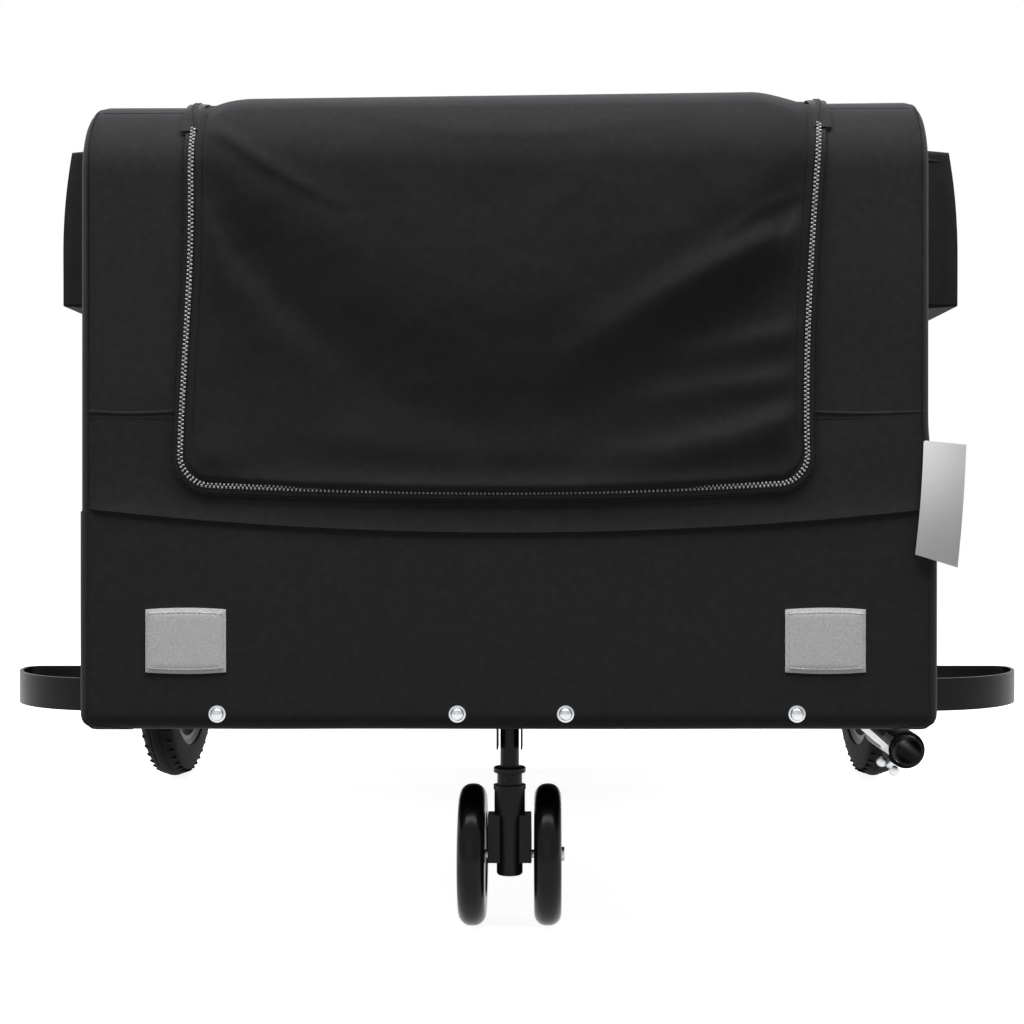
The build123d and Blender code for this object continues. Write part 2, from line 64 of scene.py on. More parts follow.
# Metres. X runs across the trailer, -Y is the way it is towed, Z is up. A name that ends in
# _S is a length along the side outline, from under the front edge over the roof to the rear.
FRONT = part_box("front_wall")[0][1]
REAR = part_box("rear_wall")[1][1]
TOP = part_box("roof_panel")[1][2] + 0.0025   # the cloth stands a little over the hoops
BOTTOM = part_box("front_tub_panel")[0][2]
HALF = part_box("side_wall_left")[1][0]
TOP_BEND, LOW_BEND, SIDE_BEND = 0.055, 0.012, 0.011   # radii of the cloth's bends
FLAT = HALF - SIDE_BEND
FRONT_LIP, REAR_LIP = 0.011, 0.018   # cloth turned in under the floor
SEAM = 0.289                 # seam between the front or rear cloth and the sides
FLAP_SEAM_Z = 0.5764         # seam along the flap's top edge
SIDE_SEAM_Z = 0.2955         # seam between the upper and lower side cloth
UPPER_LOW_Z = 0.283          # lower edge of the upper side cloth, behind that seam
ZIP_CORNER = 0.021           # radius of the zips' lower corners
WINDOW_Y, WINDOW_Z, WINDOW_CORNER = (-0.215, 0.330), (0.345, 0.536), 0.034
REAR_WINDOW_X = (-0.200, 0.200)
NET_LAP = 0.007              # how far the nets reach past their openings
REFLECTOR_X, REFLECTOR_Z = (-0.2205, 0.2165), 0.207
BOLT_X, BOLT_Z = (-0.199, -0.035, 0.039, 0.197), 0.1570
SIDES = {"left": 1, "right": -1}
NODE_SLOTS = {part["node"]: part["material_slot"] for part in frame["record"]["subparts"]}


# ---------------------------------------------------------------- small tools
def clamp(value):
    """The value, kept between 0 and 1."""
    return min(max(value, 0.0), 1.0)


def ease(value):
    """A step from 0 to 1 with a soft start and end."""
    t = clamp(value)
    return t * t * (3 - 2 * t)


def fade(t, rate):
    """1 in the middle of 0 to 1 and falling to 0 at both ends, later with a higher rate."""
    return min(1.0, rate * t * (1 - t))


def middle_of(node):
    """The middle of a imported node's box."""
    low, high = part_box(node)
    return [(a + b) / 2 for a, b in zip(low, high)]


def divide(low, high, count):
    """The values from low to high in count equal steps."""
    return [low + (high - low) * k / count for k in range(count + 1)]


def linear(code):
    """Scene-linear colour of an sRGB hex value."""
    parts = [int(code[i:i + 2], 16) / 255 for i in (1, 3, 5)]
    return [c / 12.92 if c <= 0.04045 else ((c + 0.055) / 1.055) ** 2.4 for c in parts] + [1.0]


def add_node(tree, kind, inputs=None, **settings):
    """Add one node, set it up, and link or fill its inputs."""
    made = tree.nodes.new(kind)
    for key, value in settings.items():
        setattr(made, key, value)
    for key, value in (inputs or {}).items():
        if isinstance(value, bpy.types.NodeSocket):
            tree.links.new(value, made.inputs[key])
        else:
            made.inputs[key].default_value = value
    return made


def blank(name):
    """The emptied node tree of a new material."""
    material = bpy.data.materials.new(name)
    material.use_nodes = True
    material.node_tree.nodes.clear()
    return material.node_tree


def surface(tree, colour, rough, bump=None, depth=0.001, strength=1.0, **extra):
    """Close a material with its shader: colour, roughness and height."""
    sockets = {"Base Color": colour, "Roughness": rough}
    sockets.update({key.replace("_", " "): value for key, value in extra.items()})
    if bump is not None:
        lifted = add_node(tree, "ShaderNodeBump",
                          {"Height": bump, "Distance": depth, "Strength": strength})
        sockets["Normal"] = lifted.outputs[0]
    shader = add_node(tree, "ShaderNodeBsdfPrincipled", sockets)
    add_node(tree, "ShaderNodeOutputMaterial", {"Surface": shader.outputs[0]})


def blend_colours(tree, factor, first, second):
    """Colour that goes from first to second with factor."""
    made = add_node(tree, "ShaderNodeMix", {0: factor, 6: first, 7: second}, data_type="RGBA")
    return made.outputs[2]


def spread(tree, value, low, high):
    """A 0 to 1 value spread between low and high."""
    made = add_node(tree, "ShaderNodeMapRange", {0: value, 3: low, 4: high})
    return made.outputs[0]


def sums(tree, operation, first, second):
    """One step of arithmetic between two values."""
    return add_node(tree, "ShaderNodeMath", {0: first, 1: second}, operation=operation).outputs[0]


def bands(tree, along, direction, pitch):
    """Soft bands a pitch apart, as threads or ribs lie."""
    made = add_node(tree, "ShaderNodeTexWave", {"Vector": along, "Scale": math.pi / 10 / pitch},
                    bands_direction=direction)
    return made.outputs["Fac"]


def mottle(tree, where, size, detail=2.0):
    """Soft random patches of about that size."""
    made = add_node(tree, "ShaderNodeTexNoise",
                    {"Vector": where, "Scale": 0.5 / size, "Detail": detail})
    return made.outputs["Fac"]


def coordinates(tree, kind):
    """Texture coordinates in metres: 'Object' or 'UV'."""
    return add_node(tree, "ShaderNodeTexCoord").outputs[kind]


def calm():
    """Leave edit mode and deselect everything."""
    if bpy.context.object and bpy.context.object.mode != "OBJECT":
        bpy.ops.object.mode_set(mode="OBJECT")
    bpy.ops.object.select_all(action="DESELECT")


def pick_out(piece):
    """Select one piece alone."""
    calm()
    piece.select_set(True)
    bpy.context.view_layer.objects.active = piece


def settle(piece, name, material, body="chassis", stands_for=(), crease=35):
    """Smooth and name a finished piece and set it on its body; a piece of the flap gets no body
    and keeps its place in its mesh.

    Creases sharper than so many degrees stay; without any, the piece stays faceted.
    """
    pick_out(piece)
    if crease:
        bpy.ops.object.shade_smooth_by_angle(angle=math.radians(crease))
    bpy.ops.object.transform_apply(location=True, rotation=True, scale=True)
    piece.name = piece.data.name = name
    piece.data.materials.clear()
    piece.data.materials.append(bpy.data.materials[material])
    if body == "flap":
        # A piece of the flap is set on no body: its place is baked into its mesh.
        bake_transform(piece)
    else:
        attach(piece, body)
    if stands_for:
        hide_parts(*stands_for)


def apply_modifier(piece, step):
    """Apply a piece's modifier."""
    pick_out(piece)
    bpy.ops.object.modifier_apply(modifier=step.name)


def thicken(piece, thick):
    """Give a sheet its thickness, inwards."""
    step = piece.modifiers.new("Solidify", "SOLIDIFY")
    step.thickness, step.offset = thick, -1.0
    apply_modifier(piece, step)


def cut_out(piece, cutter, folded=False):
    """Cut a solid shape out of a piece; a folded piece may touch itself."""
    step = piece.modifiers.new("Boolean", "BOOLEAN")
    step.operation, step.solver, step.object = "DIFFERENCE", "EXACT", cutter
    step.use_self = step.use_hole_tolerant = folded
    apply_modifier(piece, step)
    bpy.data.objects.remove(cutter)


def merge_points(piece, distance=0.00005):
    """Merge points that lie on each other and turn all faces outwards."""
    pick_out(piece)
    bpy.ops.object.mode_set(mode="EDIT")
    bpy.ops.mesh.select_all(action="SELECT")
    bpy.ops.mesh.remove_doubles(threshold=distance)
    bpy.ops.mesh.normals_make_consistent(inside=False)
    bpy.ops.object.mode_set(mode="OBJECT")


def join_pieces(pieces):
    """Join several meshes into the first one."""
    calm()
    for piece in pieces:
        piece.select_set(True)
    bpy.context.view_layer.objects.active = pieces[0]
    bpy.ops.object.join()
    return pieces[0]


def face_towards(piece, direction):
    """Turn a sheet over unless it faces direction(place)."""
    if sum(f.normal.dot(direction(f.center)) for f in piece.data.polygons) < 0:
        piece.data.flip_normals()


def cloth_grid(columns, rows, shape, facing, size):
    """A flat grid laid over shape(u, t), its UV map size metres, its faces towards facing."""
    calm()
    bpy.ops.mesh.primitive_grid_add(x_subdivisions=columns, y_subdivisions=rows, size=2)
    piece = bpy.context.object
    mesh = piece.data
    flat = [((v.co.x + 1) / 2, (v.co.y + 1) / 2) for v in mesh.vertices]
    for vertex, (u, t) in zip(mesh.vertices, flat):
        vertex.co = shape(u, t)
    for loop in mesh.loops:
        u, t = flat[loop.vertex_index]
        mesh.uv_layers[0].data[loop.index].uv = (u * size[0], t * size[1])
    mesh.update()
    if facing is not None:
        face_towards(piece, lambda place: Vector(facing))
    return piece


def ribbon(route, width, thick, crown=0.0, rows=2, lift=0.0):
    """A tape along a route of (point, outward normal), a little crowned across."""
    path = [Vector(p) for p, _ in route]
    ups = [Vector(n).normalized() for _, n in route]
    count = len(route)
    closed = (path[0] - path[-1]).length < 1e-6

    def shape(u, t):
        k = int(round(u * (count - 1)))
        ahead = path[min(k + 1, count - 1)] - path[max(k - 1, 0)]
        if closed and k in (0, count - 1):
            ahead = path[1] - path[-2]
        across = ahead.normalized().cross(ups[k])
        high = lift + thick + crown * (1 - (2 * t - 1) ** 2)
        return path[k] + across * (t - 0.5) * width + ups[k] * high

    long = sum((b - a).length for a, b in zip(path, path[1:]))
    piece = cloth_grid(count - 1, rows, shape, None, (long, width))
    if closed:
        merge_points(piece)
    face_towards(piece, lambda place: ups[nearest(path, place)])
    thicken(piece, thick)
    return piece


def nearest(path, point):
    """Index of the path point nearest to point."""
    return min(range(len(path)), key=lambda k: (path[k] - point).length_squared)


def evenly(route, pitch):
    """Places along a route, a pitch apart: (point, along, outward)."""
    places, travelled, wanted = [], 0.0, pitch / 2
    for (a, na), (b, nb) in zip(route, route[1:]):
        a, b = Vector(a), Vector(b)
        step = (b - a).length
        while step > 0 and wanted <= travelled + step:
            share = (wanted - travelled) / step
            places.append((a.lerp(b, share), (b - a).normalized(),
                           Vector(na).lerp(Vector(nb), share).normalized()))
            wanted += pitch
        travelled += step
    return places


def copies(template, places, name):
    """Copies of one small modelled shape set along places, as one mesh."""
    points, faces = [], []
    source = [v.co.copy() for v in template.data.vertices]
    polygons = [tuple(f.vertices) for f in template.data.polygons]
    for point, along, out in places:
        across = out.cross(along).normalized()
        turn = Matrix((along, across, across.cross(along) * -1)).transposed()
        if turn.determinant() < 0:
            turn = Matrix((along, -across, turn.col[2])).transposed()
        base = len(points)
        points += [point + turn @ co for co in source]
        faces += [tuple(base + i for i in face) for face in polygons]
    mesh = bpy.data.meshes.new(name)
    mesh.from_pydata(points, [], faces)
    mesh.validate()
    bpy.data.objects.remove(template)
    piece = bpy.data.objects.new(name, mesh)
    bpy.context.collection.objects.link(piece)
    return piece


def stitch(long, thick=0.0006):
    """One sewn stitch: a short thread, sunk at both ends."""
    calm()
    bpy.ops.mesh.primitive_cylinder_add(vertices=6, radius=thick / 2, depth=long,
                                        rotation=(0, math.pi / 2, 0), end_fill_type="TRIFAN")
    made = bpy.context.object
    bpy.ops.object.transform_apply(rotation=True)
    for vertex in made.data.vertices:
        if vertex.co.yz.length < thick * 0.1:
            vertex.co.x *= 1.12
            vertex.co.z -= thick * 0.5
    return made


def lathe(profile, steps, axis="X", centre=(0, 0, 0), closed=False):
    """Spin a profile of (along, radius) points round an axis."""
    calm()
    bpy.ops.mesh.primitive_circle_add(vertices=len(profile), radius=0.01)
    made = bpy.context.object
    bpy.ops.object.mode_set(mode="EDIT")
    shape = bmesh.from_edit_mesh(made.data)
    shape.verts.ensure_lookup_table()
    for point, (along, radius) in zip(shape.verts, profile):
        point.co = (along, 0, radius)
    if not closed:
        shape.edges.remove(shape.edges.get((shape.verts[0], shape.verts[-1])))
    bmesh.update_edit_mesh(made.data)
    bpy.ops.mesh.select_all(action="SELECT")
    bpy.ops.mesh.spin(steps=steps, angle=2 * math.pi, center=(0, 0, 0), axis=(1, 0, 0))
    bpy.ops.object.mode_set(mode="OBJECT")
    merge_points(made, 0.00002)
    turn = {"X": Matrix.Identity(4), "Y": Matrix.Rotation(math.pi / 2, 4, "Z"),
            "-Y": Matrix.Rotation(-math.pi / 2, 4, "Z"),
            "Z": Matrix.Rotation(-math.pi / 2, 4, "Y")}[axis]
    made.data.transform(Matrix.Translation(Vector(centre)) @ turn)
    return made


def bevelled_block(size, bevel, segments=1):
    """A block with bevelled edges about the origin."""
    calm()
    bpy.ops.mesh.primitive_cube_add(size=1, scale=size)
    made = bpy.context.object
    bpy.ops.object.transform_apply(scale=True)
    bpy.ops.object.mode_set(mode="EDIT")
    bpy.ops.mesh.select_all(action="SELECT")
    bpy.ops.mesh.bevel(offset=bevel, segments=segments)
    bpy.ops.object.mode_set(mode="OBJECT")
    return made


def put(piece, place, side):
    """Move a piece from the origin to its place, mirrored on the other side."""
    piece.data.transform(Matrix.Translation(Vector(place)) @ Matrix.Diagonal((side, 1, 1, 1)))
    if side < 0:
        piece.data.flip_normals()


def sew(lines, name, body="chassis"):
    """Sew stitches along lines of (point, outward)."""
    s = made_to()
    places = [spot for line in lines for spot in evenly(line, s.stitch_pitch)]
    thread = copies(stitch(s.stitch_length), places, name)
    settle(thread, name, "polyester_webbing", body=body, crease=None)


# ---------------------------------------------------------------- form of the cloth box
def outline_runs():
    """The side outline of the box, from the front lip under the floor over the roof."""
    up, over = TOP - TOP_BEND - BOTTOM - LOW_BEND, REAR - FRONT - 2 * TOP_BEND
    quarter = math.pi / 2
    return [("line", FRONT_LIP, (FRONT + LOW_BEND + FRONT_LIP, BOTTOM), (-1, 0)),
            ("bend", LOW_BEND * quarter, (FRONT + LOW_BEND, BOTTOM + LOW_BEND), -90, LOW_BEND),
            ("line", up, (FRONT, BOTTOM + LOW_BEND), (0, 1)),
            ("bend", TOP_BEND * quarter, (FRONT + TOP_BEND, TOP - TOP_BEND), -180, TOP_BEND),
            ("line", over, (FRONT + TOP_BEND, TOP), (1, 0)),
            ("bend", TOP_BEND * quarter, (REAR - TOP_BEND, TOP - TOP_BEND), -270, TOP_BEND),
            ("line", up, (REAR, TOP - TOP_BEND), (0, -1)),
            ("bend", LOW_BEND * quarter, (REAR - LOW_BEND, BOTTOM + LOW_BEND), 0, LOW_BEND),
            ("line", REAR_LIP, (REAR - LOW_BEND, BOTTOM), (-1, 0))]


RUNS = outline_runs()
STARTS = [sum(run[1] for run in RUNS[:k]) for k in range(len(RUNS) + 1)]
(_, LOW_FRONT_S, FRONT_S, TOP_FRONT_S, ROOF_S,
 TOP_REAR_S, REAR_S, LOW_REAR_S, REAR_LIP_S, END_S) = STARTS


def outline(s):
    """(point, outward) at length s along the side outline, as (y, z) vectors."""
    s = min(max(s, 0.0), STARTS[-1])
    k = max(i for i in range(len(RUNS)) if STARTS[i] <= s + 1e-12)
    run, along = RUNS[k], s - STARTS[k]
    if run[0] == "line":
        point, way = Vector(run[2]), Vector(run[3])
        return point + way * along, Vector((-way.y, way.x))
    angle = math.radians(run[3]) - along / run[4]
    out = Vector((math.cos(angle), math.sin(angle)))
    return Vector(run[2]) + out * run[4], out


def front_s(z):
    """Length along the outline of the front face's height z."""
    if z <= TOP - TOP_BEND:
        return FRONT_S + z - BOTTOM - LOW_BEND
    return TOP_FRONT_S + TOP_BEND * math.asin(min(1.0, (z - TOP + TOP_BEND) / TOP_BEND))


def rear_s(z):
    """Length along the outline of the rear face's height z."""
    return REAR_S + TOP - TOP_BEND - z


def on_face(rear, x, z, proud):
    """(point, outward) on the front or the rear face at x across and height z."""
    return wrap(x, rear_s(z) if rear else front_s(z), proud)


def wrap(w, s, proud=0.0):
    """(point, outward) on the box: w across, s along the outline, rounded at its sides."""
    point, out = outline(s)
    inset, lean, x = 0.0, 0.0, abs(w)
    if x > FLAT:
        lean = (x - FLAT) / SIDE_BEND
        x, inset = FLAT + SIDE_BEND * math.sin(lean), SIDE_BEND * (1 - math.cos(lean))
    side = math.copysign(1, w)
    at = Vector((side * x, point.x - out.x * inset, point.y - out.y * inset))
    hang(at)
    away = Vector((side * math.sin(lean), out.x * math.cos(lean), out.y * math.cos(lean)))
    return at + away * proud, away


def hang(at):
    """Where the cloth really lies: drawn in above the tub on the left, and higher there."""
    if at.x > 0.10:
        at.x -= 0.0050 * ease((at.z - 0.300) / 0.06) * ((at.x - 0.10) / 0.195) ** 2
    at.z += 0.0020 * ease((at.z - 0.44) / 0.13) * at.x / 0.29
    return at


def zip_lines(z):
    """X of the right and the left zip at height z: they draw in a little on their way up."""
    left = 0.2048 + 0.0100 * max(0.0, (z - 0.38) / 0.18) ** 1.6
    return -0.2166 - 0.0076 * ease((0.50 - z) / 0.19), left


def zip_low(x):
    """Height of the zip along the bottom: it hangs through between its corners."""
    return 0.3088 + (0.0038 if x < 0 else 0.0058) * (x / 0.19) ** 2


def zip_route(offset=0.0, proud=0.0, reach=0.575):
    """The zip's route down the right, along the bottom and up the left, offset outwards."""
    corner = ZIP_CORNER + offset
    near = zip_lines(0.33)[0] - offset + corner
    far = zip_lines(0.33)[1] + offset - corner
    route = []
    for x, pick, first in ((near, 0, math.pi), (far, 1, -math.pi / 2)):
        low = zip_low(x) - offset
        bend = [(x + corner * math.cos(a), low + corner * (1 + math.sin(a)))
                for a in divide(first, first + math.pi / 2, 15)]
        away = -1 if pick == 0 else 1
        rise = [(zip_lines(z)[pick] + away * offset, z)
                for z in divide(low + corner, reach, 90)[1:]]
        if pick == 0:
            route += rise[::-1] + bend
            route += [(x, zip_low(x) - offset) for x in divide(near, far, 120)[1:-1]]
        else:
            route += bend + rise
    return [wrap(x, front_s(z), proud) for x, z in route]


def side_spot(side, y, z, proud=0.0):
    """(point, outward) on a side face."""
    return hang(Vector((side * (HALF + proud), y, z))), Vector((side, 0, 0))


def rounded_route(low, high, corner, steps=8, run=24):
    """Points round a rectangle with rounded corners, closed, in its own plane."""
    (a0, b0), (a1, b1) = low, high
    corners = [(a1 - corner, b1 - corner), (a0 + corner, b1 - corner),
               (a0 + corner, b0 + corner), (a1 - corner, b0 + corner)]
    route = []
    for k in range(4):
        for i in range(steps + 1):
            a = math.radians(90 * k + 90 * i / steps)
            route.append((corners[k][0] + corner * math.cos(a),
                          corners[k][1] + corner * math.sin(a)))
        a = math.radians(90 * (k + 1))
        near, after = route[-1], corners[(k + 1) % 4]
        far = (after[0] + corner * math.cos(a), after[1] + corner * math.sin(a))
        for i in range(1, run):
            route.append(tuple(p + (q - p) * i / run for p, q in zip(near, far)))
    route.append(route[0])
    return route


# ---------------------------------------------------------------- finishes
def plainly_seen(tree):
    """1 where the eye, a gloss or a clear piece looks straight at a surface, otherwise 0."""
    ray = add_node(tree, "ShaderNodeLightPath").outputs
    return sums(tree, "MAXIMUM", ray["Is Camera Ray"],
                sums(tree, "MAXIMUM", ray["Is Glossy Ray"], ray["Is Transmission Ray"]))


def oxford_cloth(name, colour, worn):
    """Polyester Oxford of 600 denier: a fine plain weave with a dull sheen."""
    tree = blank(name)
    where = coordinates(tree, "UV")
    # Real threads lie 0.5 mm apart; they are drawn 1.3 mm apart so that they show.
    warp = bands(tree, where, "X", 0.0013)
    weft = bands(tree, where, "Y", 0.0013)
    weave = sums(tree, "MULTIPLY", warp, weft)
    slub = mottle(tree, coordinates(tree, "Object"), 0.0028, 3.0)
    grain = sums(tree, "ADD", sums(tree, "MULTIPLY", weave, 0.35),
                 sums(tree, "MULTIPLY", slub, 0.65))
    dye = mottle(tree, coordinates(tree, "Object"), 0.05)
    tone = blend_colours(tree, spread(tree, grain, -0.9, 1.9), linear(colour), linear(worn))
    tone = blend_colours(tree, spread(tree, dye, 0.0, 0.25), tone, linear(worn))
    surface(tree, tone, spread(tree, slub, 0.62, 0.74), grain, 0.00012, 0.6,
            Sheen_Weight=0.10, Sheen_Roughness=0.4, Sheen_Tint=linear("#c4ccd8"),
            Specular_IOR_Level=0.06)


def webbing(name, colour, worn):
    """Woven polyester tape: ribs across it, a little shinier than the cloth."""
    tree = blank(name)
    where = coordinates(tree, "UV")
    rib = bands(tree, where, "X", 0.0016)
    fuzz = mottle(tree, coordinates(tree, "Object"), 0.0015, 3.0)
    height = sums(tree, "ADD", sums(tree, "MULTIPLY", rib, 0.6), sums(tree, "MULTIPLY", fuzz, 0.4))
    tone = blend_colours(tree, height, linear(colour), linear(worn))
    surface(tree, tone, spread(tree, fuzz, 0.5, 0.65), height, 0.00015, 0.7, Sheen_Weight=0.05,
            Specular_IOR_Level=0.12)


def open_mesh(name, colour, worn):
    """Knitted polyester window mesh: thin black yarn round small holes."""
    tree = blank(name)
    where = coordinates(tree, "UV")
    # Real holes are 1.5 mm apart; they are drawn 2.6 mm apart so that they show.
    across = bands(tree, where, "X", 0.0026)
    along = bands(tree, where, "Y", 0.0026)
    hole = sums(tree, "MULTIPLY", across, along)
    yarn = mottle(tree, where, 0.0012, 2.0)
    open_share = sums(tree, "GREATER_THAN", hole, 0.42)
    cover = sums(tree, "SUBTRACT", 1.0, open_share)
    tone = blend_colours(tree, yarn, linear(colour), linear(worn))
    surface(tree, tone, spread(tree, yarn, 0.55, 0.7), yarn, 0.0001, 0.4, Alpha=cover)


def smooth_finish(name, colour, worn, grain, wear, share, rough, bump, **extra):
    """A solid's finish: a fine grain and, over it, softly worn patches.

    grain and wear are (size in metres, detail), share is how worn the worst patches are,
    rough goes from clean to worn, and bump is the grain's (depth, strength).
    """
    tree = blank(name)
    where = coordinates(tree, "Object")
    fine, patches = mottle(tree, where, *grain), mottle(tree, where, *wear)
    tone = blend_colours(tree, spread(tree, patches, 0.0, share), linear(colour), linear(worn))
    surface(tree, tone, spread(tree, patches, *rough), fine, *bump, **extra)


def beaded_tape(name, colour, worn):
    """Retroreflective tape: grey cloth under a layer of glass beads, finely speckled."""
    tree = blank(name)
    where = coordinates(tree, "Object")
    # Real beads are about 0.06 mm; they are drawn 0.7 mm so that they show.
    beads = add_node(tree, "ShaderNodeTexVoronoi", {"Vector": where, "Scale": 1 / 0.0007})
    tone = blend_colours(tree, beads.outputs["Distance"], linear(worn), linear(colour))
    surface(tree, tone, spread(tree, beads.outputs["Distance"], 0.42, 0.6),
            beads.outputs["Distance"], 0.00005, 0.5)


def satin_label(name, colour, worn):
    """White woven satin label: very fine ribs, soft shine."""
    tree = blank(name)
    where = coordinates(tree, "UV")
    rib = bands(tree, where, "Y", 0.0009)
    tone = blend_colours(tree, rib, linear(worn), linear(colour))
    surface(tree, tone, spread(tree, rib, 0.42, 0.55), rib, 0.00004, 0.5, Sheen_Weight=0.1)


def studio_white(name, colour, worn):
    """White studio floor: it shows white to the eye, takes a shadow and throws little light up."""
    tree = blank(name)
    speckle = mottle(tree, coordinates(tree, "Object"), 0.4)
    tone = blend_colours(tree, speckle, linear(colour), linear(worn))
    paint = add_node(tree, "ShaderNodeBsdfDiffuse", {"Color": tone})
    glow = add_node(tree, "ShaderNodeEmission", {"Color": linear(colour), "Strength": 1.04})
    both = add_node(tree, "ShaderNodeAddShader", {0: paint.outputs[0], 1: glow.outputs[0]})
    flag = add_node(tree, "ShaderNodeBsdfDiffuse", {"Color": linear("#5a5a5a")})
    mixed = add_node(tree, "ShaderNodeMixShader",
                     {0: plainly_seen(tree), 1: flag.outputs[0], 2: both.outputs[0]})
    add_node(tree, "ShaderNodeOutputMaterial", {"Surface": mixed.outputs[0]})


# ---------------------------------------------------------------- sizes and colours
def tint(label, code):
    """A colour setting with its default as an sRGB hex value."""
    return bpy.props.StringProperty(
        name=label, description=f"sRGB hex colour of the {label.lower()}", default=code)


def length(label, description, default):
    """A length setting in metres."""
    return bpy.props.FloatProperty(name=label, description=description, default=default,
                                   min=0.0, subtype="DISTANCE", unit="LENGTH")


class TrailerColours(bpy.types.PropertyGroup):
    """Colours of the trailer's cloth, metal, plastic and trim."""
    cloth: tint("Cloth", "#2b2b2c")
    cloth_worn: tint("Worn cloth", "#373839")
    # The flap's cloth colours are the walls' drawn a shade darker: painted shade.
    flap: tint("Flap cloth", "#272728")
    flap_worn: tint("Worn flap cloth", "#323334")
    tape: tint("Tape", "#101011")
    net: tint("Window mesh", "#141415")
    steel: tint("Powder coat", "#171718")
    plastic: tint("Plastic", "#131313")
    rubber: tint("Tyre rubber", "#0f0f0f")
    urethane: tint("Caster wheels", "#0c0c0c")
    zinc: tint("Zinc plate", "#c4c6c8")
    teeth: tint("Zip teeth", "#cfd0d0")
    # The reflectors are drawn near white, lighter than their real grey, to make up for the dim
    # light on upright faces: painted light.
    reflector: tint("Reflectors", "#fcfcfc")
    label: tint("Label", "#fafafa")


class TrailerSizes(bpy.types.PropertyGroup):
    """Sizes of the sewn and fitted details."""
    cloth_thick: length("Cloth", "Thickness of the padded cloth walls", 0.0026)
    zip_pitch: length("Zip pitch", "Distance from tooth to tooth on one side of a zip", 0.0028)
    zip_tape: length("Zip tape", "Width of each zip tape", 0.0050)
    stitch_length: length("Stitch", "Length of one stitch", 0.0034)
    stitch_pitch: length("Stitch pitch", "Distance from stitch to stitch", 0.0046)
    binding: length("Binding", "Width of the sewn edge binding", 0.016)
    flap_sag: length("Flap fold", "Height of the flap's largest fold", 0.0105)
    reflector_width: length("Reflector width", "Width of a sewn reflector", 0.055)
    reflector_height: length("Reflector height", "Height of a sewn reflector", 0.043)
    bolt: length("Bolt", "Diameter of a cloth bolt's washer", 0.012)


def look():
    """The scene's colours."""
    return bpy.context.scene.trailer_colours


def made_to():
    """The scene's sizes."""
    return bpy.context.scene.trailer_sizes


# ---------------------------------------------------------------- stage
class TRAILER_OT_stage(bpy.types.Operator):
    """Set up the white floor, the soft studio lamps and the camera"""
    bl_idname = "trailer.stage"
    bl_label = "Stage"

    def execute(self, context):
        studio_white("studio_white", "#f2f2f2", "#eeeeee")
        calm()
        bpy.ops.mesh.primitive_plane_add(size=14, location=(0, 3, 0))
        floor = context.object
        floor.name = "studio_floor"
        floor.data.materials.append(bpy.data.materials["studio_white"])
        world = bpy.data.worlds.new("studio_world")
        context.scene.world = world
        world.use_nodes = True
        tree = world.node_tree
        tree.nodes.clear()
        level = spread(tree, plainly_seen(tree), 0.08, 1.0)
        sky = add_node(tree, "ShaderNodeBackground", {"Color": (1, 1, 1, 1), "Strength": level})
        add_node(tree, "ShaderNodeOutputWorld", {"Surface": sky.outputs[0]})
        lamps = (("overhead", (0.0, -0.85, 1.75), (20, 0, 0), (2.2, 0.6), 36),
                 ("rear_top", (0.0, 1.3, 2.0), (-30, 0, 0), (2.2, 0.8), 16),
                 ("front_fill", (-0.5, -2.8, 0.9), (80, 0, -10), (1.8, 1.2), 3),
                 ("right_side", (-1.9, 0.5, 1.1), (0, -65, 0), (1.2, 1.0), 14),
                 ("left_side", (1.9, 0.5, 1.1), (0, 65, 0), (1.2, 1.0), 14))
        for name, place, turn, size, power in lamps:
            data = bpy.data.lights.new(name, "AREA")
            data.shape, data.size, data.size_y, data.energy = "RECTANGLE", size[0], size[1], power
            lamp = bpy.data.objects.new(name, data)
            lamp.location = place
            lamp.rotation_euler = [math.radians(a) for a in turn]
            context.collection.objects.link(lamp)
        view = bpy.data.cameras.new("studio_camera")
        view.lens, view.sensor_width, view.shift_x = 59.77, 36.0, -0.0352
        camera = bpy.data.objects.new("studio_camera", view)
        camera.location = (0.027, -1.6116, 0.295)
        camera.rotation_euler = (math.pi / 2, 0, 0)
        context.collection.objects.link(camera)
        context.scene.camera = camera
        context.scene.view_settings.view_transform = "Standard"
        return {"FINISHED"}


